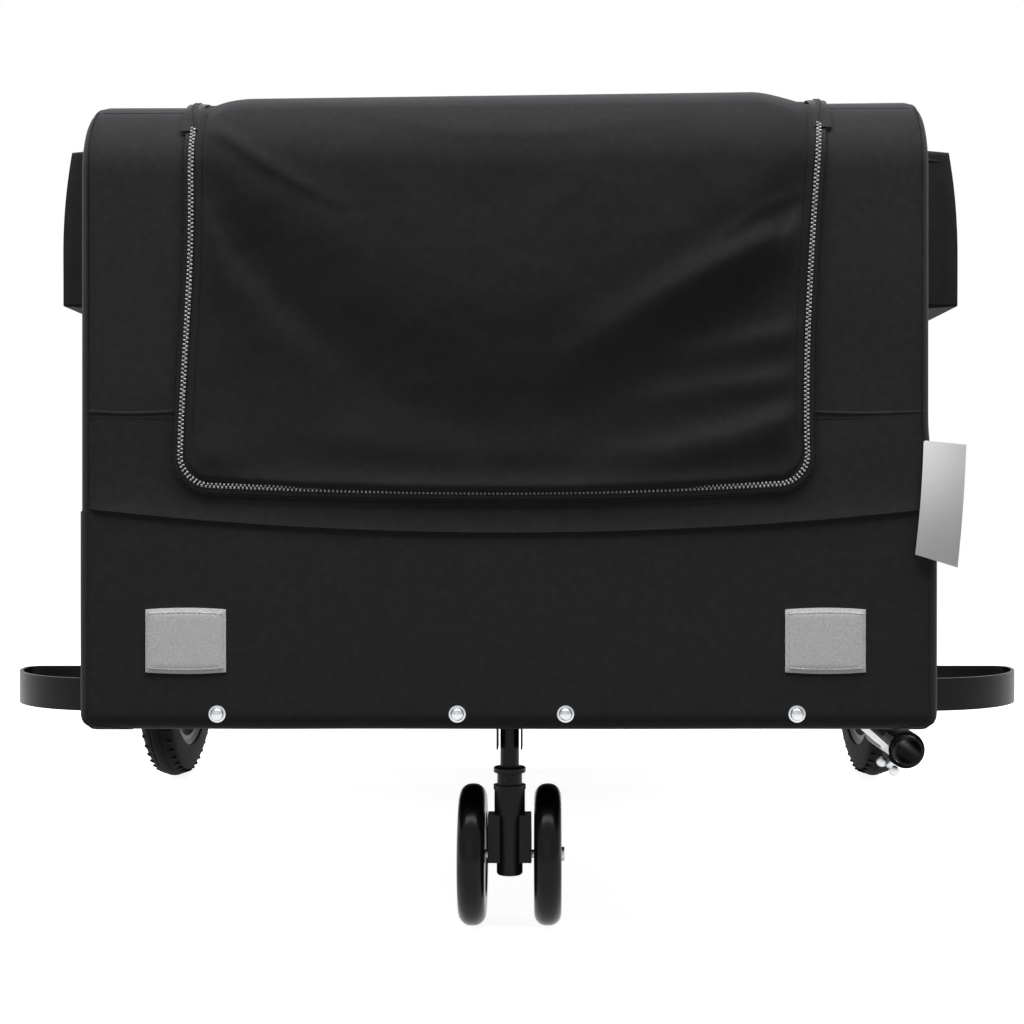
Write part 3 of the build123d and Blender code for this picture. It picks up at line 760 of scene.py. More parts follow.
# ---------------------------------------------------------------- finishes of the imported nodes
class TRAILER_OT_finishes(bpy.types.Operator):
    """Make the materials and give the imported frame, wheels and caster theirs"""
    bl_idname = "trailer.finishes"
    bl_label = "Finishes"

    def execute(self, context):
        c = look()
        oxford_cloth("oxford_polyester", c.cloth, c.cloth_worn)
        # The flap's cloth is the walls' cloth drawn a shade darker: painted shade for the flap's
        # less lit, inward-leaning faces.
        oxford_cloth("flap_oxford_painted_shade", c.flap, c.flap_worn)
        webbing("polyester_webbing", c.tape, "#242425")
        open_mesh("polyester_mesh", c.net, "#1f1f20")
        # Powder coat on steel: satin, with faint orange peel and rubbed spots.
        smooth_finish("black_powder_coat", c.steel, "#2a2a2b", (0.0012, 1.0), (0.03, 4.0),
                      0.5, (0.30, 0.44), (0.00006, 0.35), Specular_IOR_Level=0.12)
        # Injection-moulded polypropylene: spark-erosion grain and a soft shine.
        # Real grain is about 0.1 mm; it is drawn at 0.8 mm so that it shows.
        smooth_finish("black_polypropylene", c.plastic, "#262626", (0.0008, 2.0), (0.012, 5.0),
                      0.6, (0.36, 0.50), (0.00005, 0.5), Specular_IOR_Level=0.25)
        # Vulcanised rubber: matt, a little grey where it has rolled.
        smooth_finish("black_tyre_rubber", c.rubber, "#2a2a29", (0.0009, 2.0), (0.006, 5.0),
                      0.35, (0.66, 0.82), (0.00008, 0.5), Specular_IOR_Level=0.08)
        # Cast polyurethane of the caster wheels: hard and glossy, lightly scuffed.
        smooth_finish("black_polyurethane", c.urethane, "#1c1c1c", (0.005, 5.0), (0.005, 5.0),
                      0.5, (0.16, 0.28), (0.00003, 0.3), Specular_IOR_Level=0.12)
        # Bright zinc plate on steel: a soft mirror with faint grey clouds.
        smooth_finish("bright_zinc_plate", c.zinc, "#a9acaf", (0.004, 4.0), (0.004, 4.0),
                      1.0, (0.22, 0.38), (0.00004, 0.3), Metallic=1.0)
        # Moulded acetal of the zip teeth: smooth and waxy.
        smooth_finish("grey_acetal", c.teeth, "#bfc0c1", (0.002, 2.0), (0.002, 2.0),
                      1.0, (0.34, 0.46), (0.00003, 0.3))
        # The reflectors' near-white colour is painted light, making up for the dim light on
        # upright faces.
        beaded_tape("grey_reflective_tape", c.reflector, "#c2c2c2")
        satin_label("white_satin_label", c.label, "#e4e4e4")
        worn = {"black_steel": "black_powder_coat", "black_plastic": "black_polypropylene",
                "tyre_rubber": "black_tyre_rubber", "caster_rubber": "black_polyurethane",
                "zinc": "bright_zinc_plate", "cloth": "oxford_polyester",
                "net": "polyester_mesh"}
        for name, node in frame["nodes"].items():
            slot = NODE_SLOTS.get(name)
            if slot is None:
                raise RuntimeError(f"no finish is known for {name}")
            for place in node.material_slots:
                place.material = bpy.data.materials[worn[slot]]
        return {"FINISHED"}


# ---------------------------------------------------------------- cloth box
def soft_puff(point, size, height):
    """A small random swell; a seed among the point's numbers gives each cloth its own."""
    return height * noise.noise(Vector(point) / size)


def seam_height(x):
    """Height of the seam over the front and rear tub cloth: it sags in the middle."""
    return 0.2812 + 0.0163 * (x / 0.29) ** 2


class TRAILER_OT_front_cloth(bpy.types.Operator):
    """Sew the lower front panel and the front wall round the doorway"""
    bl_idname = "trailer.front_cloth"
    bl_label = "Front cloth"

    def execute(self, context):
        thick = made_to().cloth_thick

        def tub(u, t):
            w = -SEAM + 2 * SEAM * u
            s = front_s(seam_height(w) + 0.006) * t
            slack = fade(t, 8) * fade(u, 8)
            return wrap(w, s, soft_puff((w, 0.3, s), 0.11, 0.0007) * slack - 0.0006)[0]

        piece = cloth_grid(120, 60, tub, (0, -1, 0), (2 * SEAM, 0.17))
        thicken(piece, thick)
        settle(piece, "front_lower_cloth", "oxford_polyester",
               stands_for=["front_tub_panel"])

        high = front_s(FLAP_SEAM_Z) + 0.003

        def wall(u, t):
            w = -SEAM + 2 * SEAM * u
            low = front_s(seam_height(w))
            s = low + (high - low) * t
            slack = fade(t, 6)
            swell = soft_puff((w, 0.7, s), 0.09, 0.0012) * slack
            lap = 0.0024 * math.exp(-(s - low) / 0.010) * min(1.0, (SEAM - abs(w)) / 0.006)
            return wrap(w, s, swell - 0.0012 + lap)[0]

        piece = cloth_grid(130, 70, wall, (0, -1, 0), (2 * SEAM, 0.30))
        thicken(piece, thick)
        cut_out(piece, doorway_cutter())
        settle(piece, "front_wall_cloth", "oxford_polyester", stands_for=["front_wall"])
        return {"FINISHED"}


def door_swell(w, s):
    """How far the doorway's cloth stands off the hoops between the zips."""
    inside = ease((0.218 - abs(w + 0.005)) / 0.045)
    over = ease((s - TOP_FRONT_S) / (ROOF_S - TOP_FRONT_S))
    along = (1 - 0.5 * over) * math.exp(-max(0.0, s - ROOF_S) / 0.08)
    return 0.0105 * inside * along * (1 + w)


def doorway_cutter():
    """A solid as wide as the doorway, a little inside the zips."""
    route = zip_route(offset=0.002, reach=0.60)
    points = [(p.x, p.z) for p, _ in route]
    points = [(points[0][0], 0.70)] + points + [(points[-1][0], 0.70)]
    calm()
    bpy.ops.mesh.primitive_circle_add(vertices=len(points), radius=0.1, fill_type="NGON")
    made = bpy.context.object
    for vertex, (x, z) in zip(made.data.vertices, points):
        vertex.co = (x, FRONT - 0.03, z)
    bpy.ops.object.mode_set(mode="EDIT")
    bpy.ops.mesh.select_all(action="SELECT")
    bpy.ops.mesh.extrude_region_move(TRANSFORM_OT_translate={"value": (0, 0.12, 0)})
    bpy.ops.mesh.select_all(action="SELECT")
    bpy.ops.mesh.normals_make_consistent(inside=False)
    bpy.ops.object.mode_set(mode="OBJECT")
    return made


class TRAILER_OT_roof_and_rear(bpy.types.Operator):
    """Sew the roof, the rear wall with its window opening and the lower rear panel"""
    bl_idname = "trailer.roof_and_rear"
    bl_label = "Roof and rear cloth"

    def execute(self, context):
        thick = made_to().cloth_thick
        start, end = front_s(FLAP_SEAM_Z), TOP_REAR_S + 0.002

        def roof(u, t):
            w = -SEAM + 2 * SEAM * u
            s = start + (end - start) * t
            slack = fade(t, 6) * fade(u, 6)
            sag = -0.004 * slack * (1 + 0.4 * math.cos(9 * (t - 0.5)))
            sag += door_swell(w, s)
            sag -= 0.0010 * math.exp(-(s - start) / 0.008)
            return wrap(w, s, sag + soft_puff((w, 1.9, s), 0.08, 0.0016) * slack)[0]

        piece = cloth_grid(100, 130, roof, (0, 0, 1), (2 * SEAM, end - start))
        thicken(piece, thick)
        settle(piece, "roof_cloth", "oxford_polyester", stands_for=["roof_panel"])

        top, low = TOP_REAR_S, rear_s(0.280)

        def rear(u, t):
            w = SEAM - 2 * SEAM * u
            s = low + (top - low) * t
            slack = fade(t, 6)
            return wrap(w, s, soft_puff((w, 2.7, s), 0.09, 0.0014) * slack - 0.0012)[0]

        piece = cloth_grid(110, 70, rear, (0, 1, 0), (2 * SEAM, low - top))
        thicken(piece, thick)
        cut_out(piece, window_cutter("rear"))
        settle(piece, "rear_wall_cloth", "oxford_polyester", stands_for=["rear_wall"])

        def tub(u, t):
            w = SEAM - 2 * SEAM * u
            s = END_S + (rear_s(seam_height(w)) - END_S) * t
            slack = fade(t, 8) * fade(u, 8)
            return wrap(w, s, soft_puff((w, 3.3, s), 0.11, 0.0007) * slack - 0.0002)[0]

        piece = cloth_grid(110, 50, tub, (0, 1, 0), (2 * SEAM, 0.18))
        thicken(piece, thick)
        settle(piece, "rear_lower_cloth", "oxford_polyester", stands_for=["rear_tub_panel"])
        return {"FINISHED"}


def window_cutter(where):
    """A rounded block through a wall where a window opens."""
    calm()
    if where == "rear":
        (a0, a1), across = REAR_WINDOW_X, REAR
    else:
        (a0, a1), across = WINDOW_Y, SIDES[where] * HALF
    wide, high = a1 - a0, WINDOW_Z[1] - WINDOW_Z[0]
    size = (wide, 0.06, high) if where == "rear" else (0.06, wide, high)
    at = ((a0 + a1) / 2, across) if where == "rear" else (across, (a0 + a1) / 2)
    bpy.ops.mesh.primitive_cube_add(size=1, scale=size,
                                    location=(*at, sum(WINDOW_Z) / 2))
    made = bpy.context.object
    bpy.ops.object.transform_apply(location=True, scale=True)
    axis = 1 if where == "rear" else 0
    bpy.ops.object.mode_set(mode="EDIT")
    bpy.ops.mesh.select_all(action="DESELECT")
    shape = bmesh.from_edit_mesh(made.data)
    for edge in shape.edges:
        a, b = (v.co for v in edge.verts)
        if abs(a[axis] - b[axis]) > 0.01:
            edge.select_set(True)
    bmesh.update_edit_mesh(made.data)
    bpy.ops.mesh.bevel(offset=WINDOW_CORNER, segments=10)
    bpy.ops.object.mode_set(mode="OBJECT")
    return made


def edge_reach():
    """Length of the side cloth's rolled edge, up to its seam."""
    return FLAT + SIDE_BEND * math.pi / 2 - SEAM - 0.0003


def edge_frame(s):
    """Flat side point and outward direction, SIDE_BEND in from the outline."""
    point, out = outline(s)
    return point - out * SIDE_BEND, out


def upper_side(side):
    """The upper side cloth: a flat field, then its edge rolled over the hoop."""
    rim = [edge_frame(s) for s in divide(front_s(UPPER_LOW_Z), rear_s(UPPER_LOW_Z), 330)]
    (front, _), (rear, _) = rim[0], rim[-1]
    closing = [Vector((y, rear.y)) for y in divide(rear.x, front.x, 120)[1:-1]]
    loop = [p for p, _ in rim] + closing + [rim[0][0]]
    middle = Vector(((WINDOW_Y[0] + WINDOW_Y[1]) / 2, sum(WINDOW_Z) / 2))

    def field(u, t):
        k = int(round(u * (len(loop) - 1)))
        at = middle.lerp(loop[k], t)
        swell = soft_puff((side * 2.0, at.x, at.y), 0.10, 0.0016) * min(1.0, 5 * (1 - t))
        return hang(Vector((side * (HALF - 0.0010 + swell), at.x, at.y)))

    def roll(u, t):
        k = int(round(u * (len(rim) - 1)))
        flat, out = rim[k]
        lean = t * edge_reach() / SIDE_BEND
        reach = SIDE_BEND - 0.0010
        at = flat + out * (reach * math.sin(lean))
        x = FLAT + reach * math.cos(lean)
        return hang(Vector((side * x, at.x, at.y)))

    return fan_and_roll(side, loop, rim, field, roll, 26)


def fan_and_roll(side, loop, rim, field, roll, rings):
    """Join a flat field and its rolled edge into one sheet, with its UV map in metres."""
    flat = cloth_grid(len(loop) - 1, rings, field, None, (1, 1))
    edge = cloth_grid(len(rim) - 1, 5, roll, None, (1, 1))
    piece = join_pieces([flat, edge])
    merge_points(piece, 0.0001)
    face_towards(piece, lambda place: Vector((side, 0, 0)))
    layer = piece.data.uv_layers[0].data
    for place in piece.data.loops:
        co = piece.data.vertices[place.vertex_index].co
        layer[place.index].uv = (co.y + abs(co.x) - HALF, co.z)
    return piece


def lower_side(side):
    """The lower side cloth: flat beside the tub, rolled round its ends and under the rail."""
    start, end = front_s(SIDE_SEAM_Z), rear_s(SIDE_SEAM_Z)
    rim = [edge_frame(s) for s in divide(start, LOW_FRONT_S, 36)[:-1] + [LOW_FRONT_S + 1e-6]]
    rim += [(Vector((y, BOTTOM + SIDE_BEND)), Vector((0, -1)))
            for y in divide(FRONT + LOW_BEND, REAR - LOW_BEND, 140)]
    rim += [edge_frame(s - 1e-6) for s in divide(REAR_LIP_S, end, 36)]
    first, last = rim[0][0], rim[-1][0]
    closing = [Vector((y, last.y)) for y in divide(last.x, first.x, 140)[1:-1]]
    loop = [p for p, _ in rim] + closing + [first]
    middle = Vector((0.1, (BOTTOM + LOW_BEND + SIDE_SEAM_Z) / 2 + 0.01))

    def field(u, t):
        k = int(round(u * (len(loop) - 1)))
        at = middle.lerp(loop[k], t)
        swell = soft_puff((side * 3.0, at.x, at.y), 0.12, 0.0008) * min(1.0, 5 * (1 - t))
        return Vector((side * (HALF + swell - 0.0001), at.x, at.y))

    def roll(u, t):
        k = int(round(u * (len(rim) - 1)))
        flat, out = rim[k]
        short = edge_reach()
        full = SIDE_BEND * math.pi / 2 + 0.024
        reach = t * (short + (full - short) * max(0.0, -out.y) ** 3)
        lean = min(reach / SIDE_BEND, math.pi / 2)
        beyond = max(0.0, reach - SIDE_BEND * math.pi / 2)
        at = flat + out * (SIDE_BEND - 0.0001) * math.sin(lean)
        return Vector((side * (FLAT + SIDE_BEND * math.cos(lean) - beyond), at.x, at.y))

    return fan_and_roll(side, loop, rim, field, roll, 12)


def window_route(across, grow):
    """Points round a window that is grown by so much all round."""
    return rounded_route((across[0] - grow, WINDOW_Z[0] - grow),
                         (across[1] + grow, WINDOW_Z[1] + grow), WINDOW_CORNER + grow)


class TRAILER_OT_side_cloth(bpy.types.Operator):
    """Sew both side walls with their window openings, and the lower side panels"""
    bl_idname = "trailer.side_cloth"
    bl_label = "Side cloth"

    def execute(self, context):
        thick = made_to().cloth_thick
        _, axle_y, axle_z = middle_of("axle_tube")
        for name, side in SIDES.items():
            piece = upper_side(side)
            thicken(piece, thick)
            cut_out(piece, window_cutter(name))
            settle(piece, f"side_wall_cloth_{name}", "oxford_polyester",
                   stands_for=[f"side_wall_{name}"])
            piece = lower_side(side)
            thicken(piece, thick)
            calm()
            bpy.ops.mesh.primitive_cylinder_add(
                vertices=48, radius=0.012, depth=0.06, rotation=(0, math.pi / 2, 0),
                location=(side * HALF, axle_y, axle_z))
            cut_out(piece, context.object, folded=True)
            settle(piece, f"side_lower_cloth_{name}", "oxford_polyester",
                   stands_for=[f"side_tub_{name}"])
        return {"FINISHED"}


class TRAILER_OT_windows(bpy.types.Operator):
    """Fit the mesh windows and bind their edges with tape"""
    bl_idname = "trailer.windows"
    bl_label = "Windows"

    def execute(self, context):
        s = made_to()
        places = [("left", WINDOW_Y), ("right", WINDOW_Y), ("rear", REAR_WINDOW_X)]
        for name, (a0, a1) in places:
            wide, high = a1 - a0 + 2 * NET_LAP, WINDOW_Z[1] - WINDOW_Z[0] + 2 * NET_LAP

            def spot(a, z, proud=0.0, name=name):
                if name == "rear":
                    return Vector((-a, REAR + proud, z)), Vector((0, 1, 0))
                return side_spot(SIDES[name], a, z, proud)

            def net(u, t, a0=a0, wide=wide, high=high, spot=spot):
                a, z = a0 - NET_LAP + wide * u, WINDOW_Z[0] - NET_LAP + high * t
                swell = 16 * u * (1 - u) * t * (1 - t)
                ripple = soft_puff((a, z, 5.0), 0.05, 0.0012) * min(1.0, swell)
                return spot(a, z, -0.0042 - 0.0022 * swell + ripple)[0]

            piece = cloth_grid(80, 32, net, spot(0, 0)[1], (wide, high))
            thicken(piece, 0.0005)
            node = "rear_window" if name == "rear" else f"side_window_{name}"
            settle(piece, f"window_mesh_{name}", "polyester_mesh",
                   stands_for=[node])
            route = [spot(a, z, -0.0014) for a, z in window_route((a0, a1), 0.004)]
            tape = ribbon(route, s.binding, 0.0012, crown=0.0006, rows=4)
            settle(tape, f"window_binding_{name}", "polyester_webbing")
        return {"FINISHED"}


# ---------------------------------------------------------------- front flap
FOLDS = (  # crest line as (x, z), half width above and below it, share of the largest
    (((-0.209, 0.493), (-0.194, 0.463), (-0.166, 0.424), (-0.130, 0.396)), 0.016, 0.020, 0.55),
    (((0.203, 0.486), (0.167, 0.472), (0.137, 0.458), (0.107, 0.442), (0.072, 0.420),
      (0.045, 0.402)), 0.013, 0.020, 0.80),
    (((0.204, 0.514), (0.170, 0.498), (0.140, 0.478)), 0.005, 0.005, 0.13),
    (((0.204, 0.420), (0.160, 0.411), (0.110, 0.402)), 0.008, 0.012, 0.30),
    (((0.204, 0.388), (0.137, 0.379), (0.080, 0.370)), 0.008, 0.012, 0.28),
    (((0.203, 0.362), (0.150, 0.345), (0.100, 0.335), (0.060, 0.330)), 0.010, 0.016, 0.50),
    (((-0.208, 0.557), (-0.180, 0.540), (-0.150, 0.523), (-0.112, 0.502)), 0.006, 0.004, 0.16),
    (((-0.150, 0.573), (-0.090, 0.558), (-0.030, 0.548), (0.030, 0.547), (0.130, 0.560)),
     0.012, 0.005, 0.07),
    (((-0.205, 0.334), (-0.180, 0.328)), 0.014, 0.010, 0.25),
    (((-0.120, 0.344), (-0.040, 0.336), (0.030, 0.338)), 0.016, 0.012, 0.12),
)


def fold_height(x, z):
    """How far the folds lift the flap's cloth at one spot, as a share of the largest."""
    total = 0.0
    for line, above, below, share in FOLDS:
        best, place, over = 1e9, 0.0, 0.0
        count = len(line) - 1
        for k in range(count):
            (ax, az), (bx, bz) = line[k], line[k + 1]
            dx, dz = bx - ax, bz - az
            along = clamp(((x - ax) * dx + (z - az) * dz) / (dx * dx + dz * dz))
            away = (x - ax - dx * along) ** 2 + (z - az - dz * along) ** 2
            if away < best:
                best, place = away, (k + along) / count
                over = (z - az - dz * along) / (math.sqrt(away) + 1e-9)
        half = below + (above - below) * (1 + over) / 2
        runs_out = line[0][0] * line[-1][0] > 0   # a fold on one half dies away inwards
        lasting = 1.0 - 0.8 * place ** 1.5 if runs_out else 1.0
        total += share * lasting * math.exp(-best / (half * half))
    return total


def belly_height(x, z, s):
    """How far the flap bellies out: down to a crest that dips between its top corners."""
    off = min(abs(x + 0.005) / 0.207, 1.0)
    crest = 0.462 + 0.082 * off ** 1.6
    soft = 0.008 + 0.040 * (1 - off * off)
    here = door_swell(x, s) + 0.0025 * min(1.0, 8 * (0.577 - z) / 0.1)
    if z < crest:
        here -= (0.170 + 0.110 * off * off) * (math.sqrt((z - crest) ** 2 + soft * soft) - soft)
    return 0.5 * (here + math.sqrt(here * here + 0.0014 ** 2))


def flap_spot(u, t):
    """(point, outward) on the flap: u from its right to its left edge, t from hem to hinge."""
    right, left = -0.2205, 0.2020   # its edges at the hem
    nominal = right + (left - right) * u
    corner = ZIP_CORNER - 0.003
    near_edge = min(nominal - right, left - nominal)
    hem = zip_low(nominal) + 0.0025 - 0.0032 * math.sin(math.pi * u) ** 0.6
    if near_edge < corner:
        hem += corner - math.sqrt(max(0.0, corner ** 2 - (corner - near_edge) ** 2))
    s = front_s(hem) + (front_s(FLAP_SEAM_Z) - front_s(hem)) * t
    if s < TOP_FRONT_S:
        z = s - FRONT_S + BOTTOM + LOW_BEND
    else:
        z = TOP - TOP_BEND + TOP_BEND * math.sin((s - TOP_FRONT_S) / TOP_BEND)
    right, left = (line + gap for line, gap in zip(zip_lines(z), (0.0026, -0.0026)))
    x = right + (left - right) * u
    edge = min(u, 1 - u) * (left - right)
    body = 1 - math.exp(-(edge / 0.010) ** 2)
    folds = made_to().flap_sag * fold_height(x, z) * body
    crumple = soft_puff((x, z, 1.3), 0.035, 0.0006) + soft_puff((x, z, 2.1), 0.015, 0.00025)
    top = min(1.0, 7 * (1 - t))
    belly = belly_height(x, z, s) * body
    hem_lift = 0.0035 * math.sin(math.pi * u) ** 0.5 * math.exp(-((z - hem) / 0.010) ** 2)
    proud = 0.0030 + belly + (folds + crumple * body + hem_lift) * top - 0.0012 * (1 - body)
    roll = math.exp(-((z - hem) / 0.0028) ** 2)
    return wrap(x, s, max(proud, 0.0018) - 0.0028 * roll)


class TRAILER_OT_flap(bpy.types.Operator):
    """Hang the front flap in its folds between the zips, with its sewn hem"""
    bl_idname = "trailer.flap"
    bl_label = "Front flap"

    def execute(self, context):
        # The flap takes the darker copy of the cloth: painted shade.
        piece = cloth_grid(260, 190, lambda u, t: flap_spot(u, t)[0],
                           (0, -1, 0), (0.418, 0.29))
        thicken(piece, 0.0016)
        settle(piece, "flap_cloth", "flap_oxford_painted_shade", body="flap",
               stands_for=["front_flap"], crease=60)
        edges = []
        for u in (0.012, 0.988):
            line = [flap_spot(u, k / 120) for k in range(12, 116)]
            edges.append([(p + n * 0.0002, n) for p, n in line])
        sew(edges, "flap_stitching", body="flap")
        return {"FINISHED"}


# ---------------------------------------------------------------- zips
def zip_tooth():
    """One moulded zip tooth: a small head on a narrower leg, pointing along Y."""
    made = bevelled_block((0.0015, 0.0019, 0.0013), 0.00035)
    for vertex in made.data.vertices:
        if vertex.co.y > 0:
            vertex.co.x *= 0.72
    return made


class TRAILER_OT_zips(bpy.types.Operator):
    """Sew the zip tapes, set the two rows of teeth and the top bindings"""
    bl_idname = "trailer.zips"
    bl_label = "Zips"

    def execute(self, context):
        s = made_to()
        for body, side in (("chassis", 1), ("flap", -1)):
            tape = zip_route(offset=side * (s.zip_tape / 2 + 0.0002), proud=0.0004,
                             reach=0.5745)
            piece = ribbon(tape, s.zip_tape, 0.0008, rows=2)
            settle(piece, f"zip_tape_{body}", "polyester_webbing", body=body)
            row = zip_route(offset=side * 0.0009, proud=0.0026, reach=0.5600)
            places = evenly(row, s.zip_pitch)
            if side < 0:
                places = [(p + a * (s.zip_pitch / 2), a * -1, n) for p, a, n in places]
            piece = copies(zip_tooth(), places, f"zip_teeth_{body}")
            settle(piece, f"zip_teeth_{body}", "grey_acetal", body=body,
                   crease=50)
        sew([zip_route(offset=0.0062, proud=0.0017, reach=0.5745)], "zip_stitching")
        for name, pick, across in (("right", 0, -1), ("left", 1, 1)):
            parts = []   # a broad tape with two narrow strips over it
            for shift, lean, wide in ((0.0028, 0.0, 0.0125), (0.0000, 0.0050, 0.0013),
                                      (-0.0022, 0.0050, 0.0013)):
                line = []
                for k in range(30):
                    run = front_s(0.557) + 0.060 * k / 29
                    x = zip_lines(0.560)[pick] + across * (shift + lean * min(1.0, k / 12))
                    line.append(wrap(x, run, 0.0010 if wide > 0.01 else 0.0019))
                parts.append(ribbon(line, wide, 0.0009, crown=0.0004, rows=4))
            tab = join_pieces(parts)
            settle(tab, f"zip_end_binding_{name}", "polyester_webbing")
        return {"FINISHED"}


# ---------------------------------------------------------------- seams
class TRAILER_OT_seams(bpy.types.Operator):
    """Sew the raised seams and stitch lines of the cloth box"""
    bl_idname = "trailer.seams"
    bl_label = "Seams"

    def execute(self, context):
        lines = [[on_face(True, x, seam_height(x) - 0.0055, 0.0002)
                  for x in divide(-0.286, 0.286, 90)]]
        # Each cross seam: rear or front, from x to x, its height, how proud the welt and
        # the stitches under it are. The cloth lies deeper at the left of the flap.
        seams = ((False, -0.287, -0.2280, 0.3635, -0.0004, -0.0010),
                 (False, 0.2100, 0.287, 0.3635, -0.0011, -0.0017),
                 (True, -0.286, 0.286, 0.3255, 0.0004, -0.0010))
        pieces = []
        for rear, low, high, level, proud, sunk in seams:
            across = divide(low, high, 40)
            fold = [on_face(rear, x, level - 0.001 * math.sin(k / 12), proud)
                    for k, x in enumerate(across)]
            pieces.append(ribbon(fold, 0.0026, 0.0006, crown=0.0005, rows=4, lift=-0.0010))
            lines.append([on_face(rear, x, level - 0.0045, sunk) for x in across])
        for side in SIDES.values():
            top = [wrap(side * (SEAM + 0.0002), s)
                   for s in divide(FRONT_S + 0.002, LOW_REAR_S - 0.002, 260)]
            pieces.append(ribbon(top, 0.0020, 0.0006, crown=0.0003, rows=4, lift=-0.0011))
            along = divide(FRONT + 0.014, FRONT + 0.884, 120)
            level = [side_spot(side, y, SIDE_SEAM_Z, -0.0004) for y in along]
            pieces.append(ribbon(level, 0.0045, 0.0006, crown=0.0006, rows=4, lift=-0.0004))
            lines.append([side_spot(side, y, SIDE_SEAM_Z - 0.006, 0.0001) for y in along])
        for row in (0.0045, 0.0115):
            for side in SIDES.values():
                lines.append([side_spot(side, y, z, 0.0004)
                              for y, z in window_route(WINDOW_Y, row)])
            lines.append([(Vector((x, REAR + 0.0004, z)), Vector((0, 1, 0)))
                          for x, z in window_route(REAR_WINDOW_X, row)])
        hinge = [wrap(x, front_s(FLAP_SEAM_Z) + 0.004) for x in divide(-0.210, 0.207, 60)]
        pieces.append(ribbon(hinge, 0.0090, 0.0010, crown=0.0016, rows=4))
        welt = join_pieces(pieces)
        settle(welt, "seam_welts", "oxford_polyester")
        sew(lines, "box_stitching")
        return {"FINISHED"}


# ---------------------------------------------------------------- trim
class TRAILER_OT_trim(bpy.types.Operator):
    """Sew on the reflectors and the blank label, and set the cloth bolts"""
    bl_idname = "trailer.trim"
    bl_label = "Trim"

    def execute(self, context):
        s = made_to()
        wide, high = s.reflector_width, s.reflector_height
        patches, lines = [], []
        for rear in (False, True):
            for centre in REFLECTOR_X:

                def patch(u, t, centre=centre, rear=rear):
                    x = centre + (u - 0.5) * wide
                    z = REFLECTOR_Z + (t - 0.5) * (high + 0.0022 * (1 - (2 * u - 1) ** 2))
                    edge = min(min(u, 1 - u) * wide, min(t, 1 - t) * high)
                    return on_face(rear, x, z, 0.0004 + 0.0010 * min(1.0, edge / 0.0045))[0]

                piece = cloth_grid(28, 22, patch, (0, 1 if rear else -1, 0), (wide, high))
                thicken(piece, 0.0008)
                patches.append(piece)
                a, b = centre - wide / 2, centre + wide / 2
                for x in (a + 0.0022, b - 0.0022):
                    lines.append([on_face(rear, x, z, 0.0012)
                                  for z in divide(REFLECTOR_Z - 0.019, REFLECTOR_Z + 0.019, 20)])
                for z, bow in ((REFLECTOR_Z - 0.0185, -1), (REFLECTOR_Z + 0.0185, 1)):
                    lines.append([on_face(rear, x, z + bow * 0.0010 * (1 - (k / 10 - 1) ** 2),
                                          0.0012)
                                  for k, x in enumerate(divide(a + 0.003, b - 0.003, 20))])
        piece = join_pieces(patches)
        settle(piece, "sewn_reflectors", "grey_reflective_tape")
        places = [spot for line in lines for spot in evenly(line, 0.0036)]
        thread = copies(stitch(0.0026, 0.0005), places, "reflector_stitching")
        settle(thread, "reflector_stitching", "white_satin_label", crease=None)

        bolts = []
        dome = [(0.0, 0.0), (0.0, s.bolt / 2), (0.0011, s.bolt / 2 - 0.0002),
                (0.0013, s.bolt / 2 - 0.0009), (0.0013, 0.0046), (0.0022, 0.0044),
                (0.0034, 0.0034), (0.0040, 0.0018), (0.0042, 0.0)]
        for x in BOLT_X:
            at = on_face(False, x, BOLT_Z + 0.0030, 0.0)[0]
            bolts.append(lathe(dome, 28, "-Y", (x, at.y + 0.0003, BOLT_Z)))
        settle(join_pieces(bolts), "cloth_bolts", "bright_zinc_plate", crease=40)

        def label(u, t):
            # A doubled strip sewn into the seam at its top corner, hanging askew.
            z = 0.3440 - 0.0780 * t - 0.0090 * u * t - 0.0030 * (1 - t) * u
            x = 0.2840 + 0.0290 * u - 0.0070 * t + 0.0010 * u * t
            y = FRONT - 0.0045 + 0.0060 * (1 - t) ** 2 * (1 - u) + 0.0050 * u * u
            return Vector((x, y - 0.0030 * math.sin(math.pi * t), z))

        piece = cloth_grid(16, 30, label, (0, -1, 0), (0.029, 0.082))
        thicken(piece, 0.0006)
        settle(piece, "blank_side_label", "white_satin_label", crease=60)
        return {"FINISHED"}


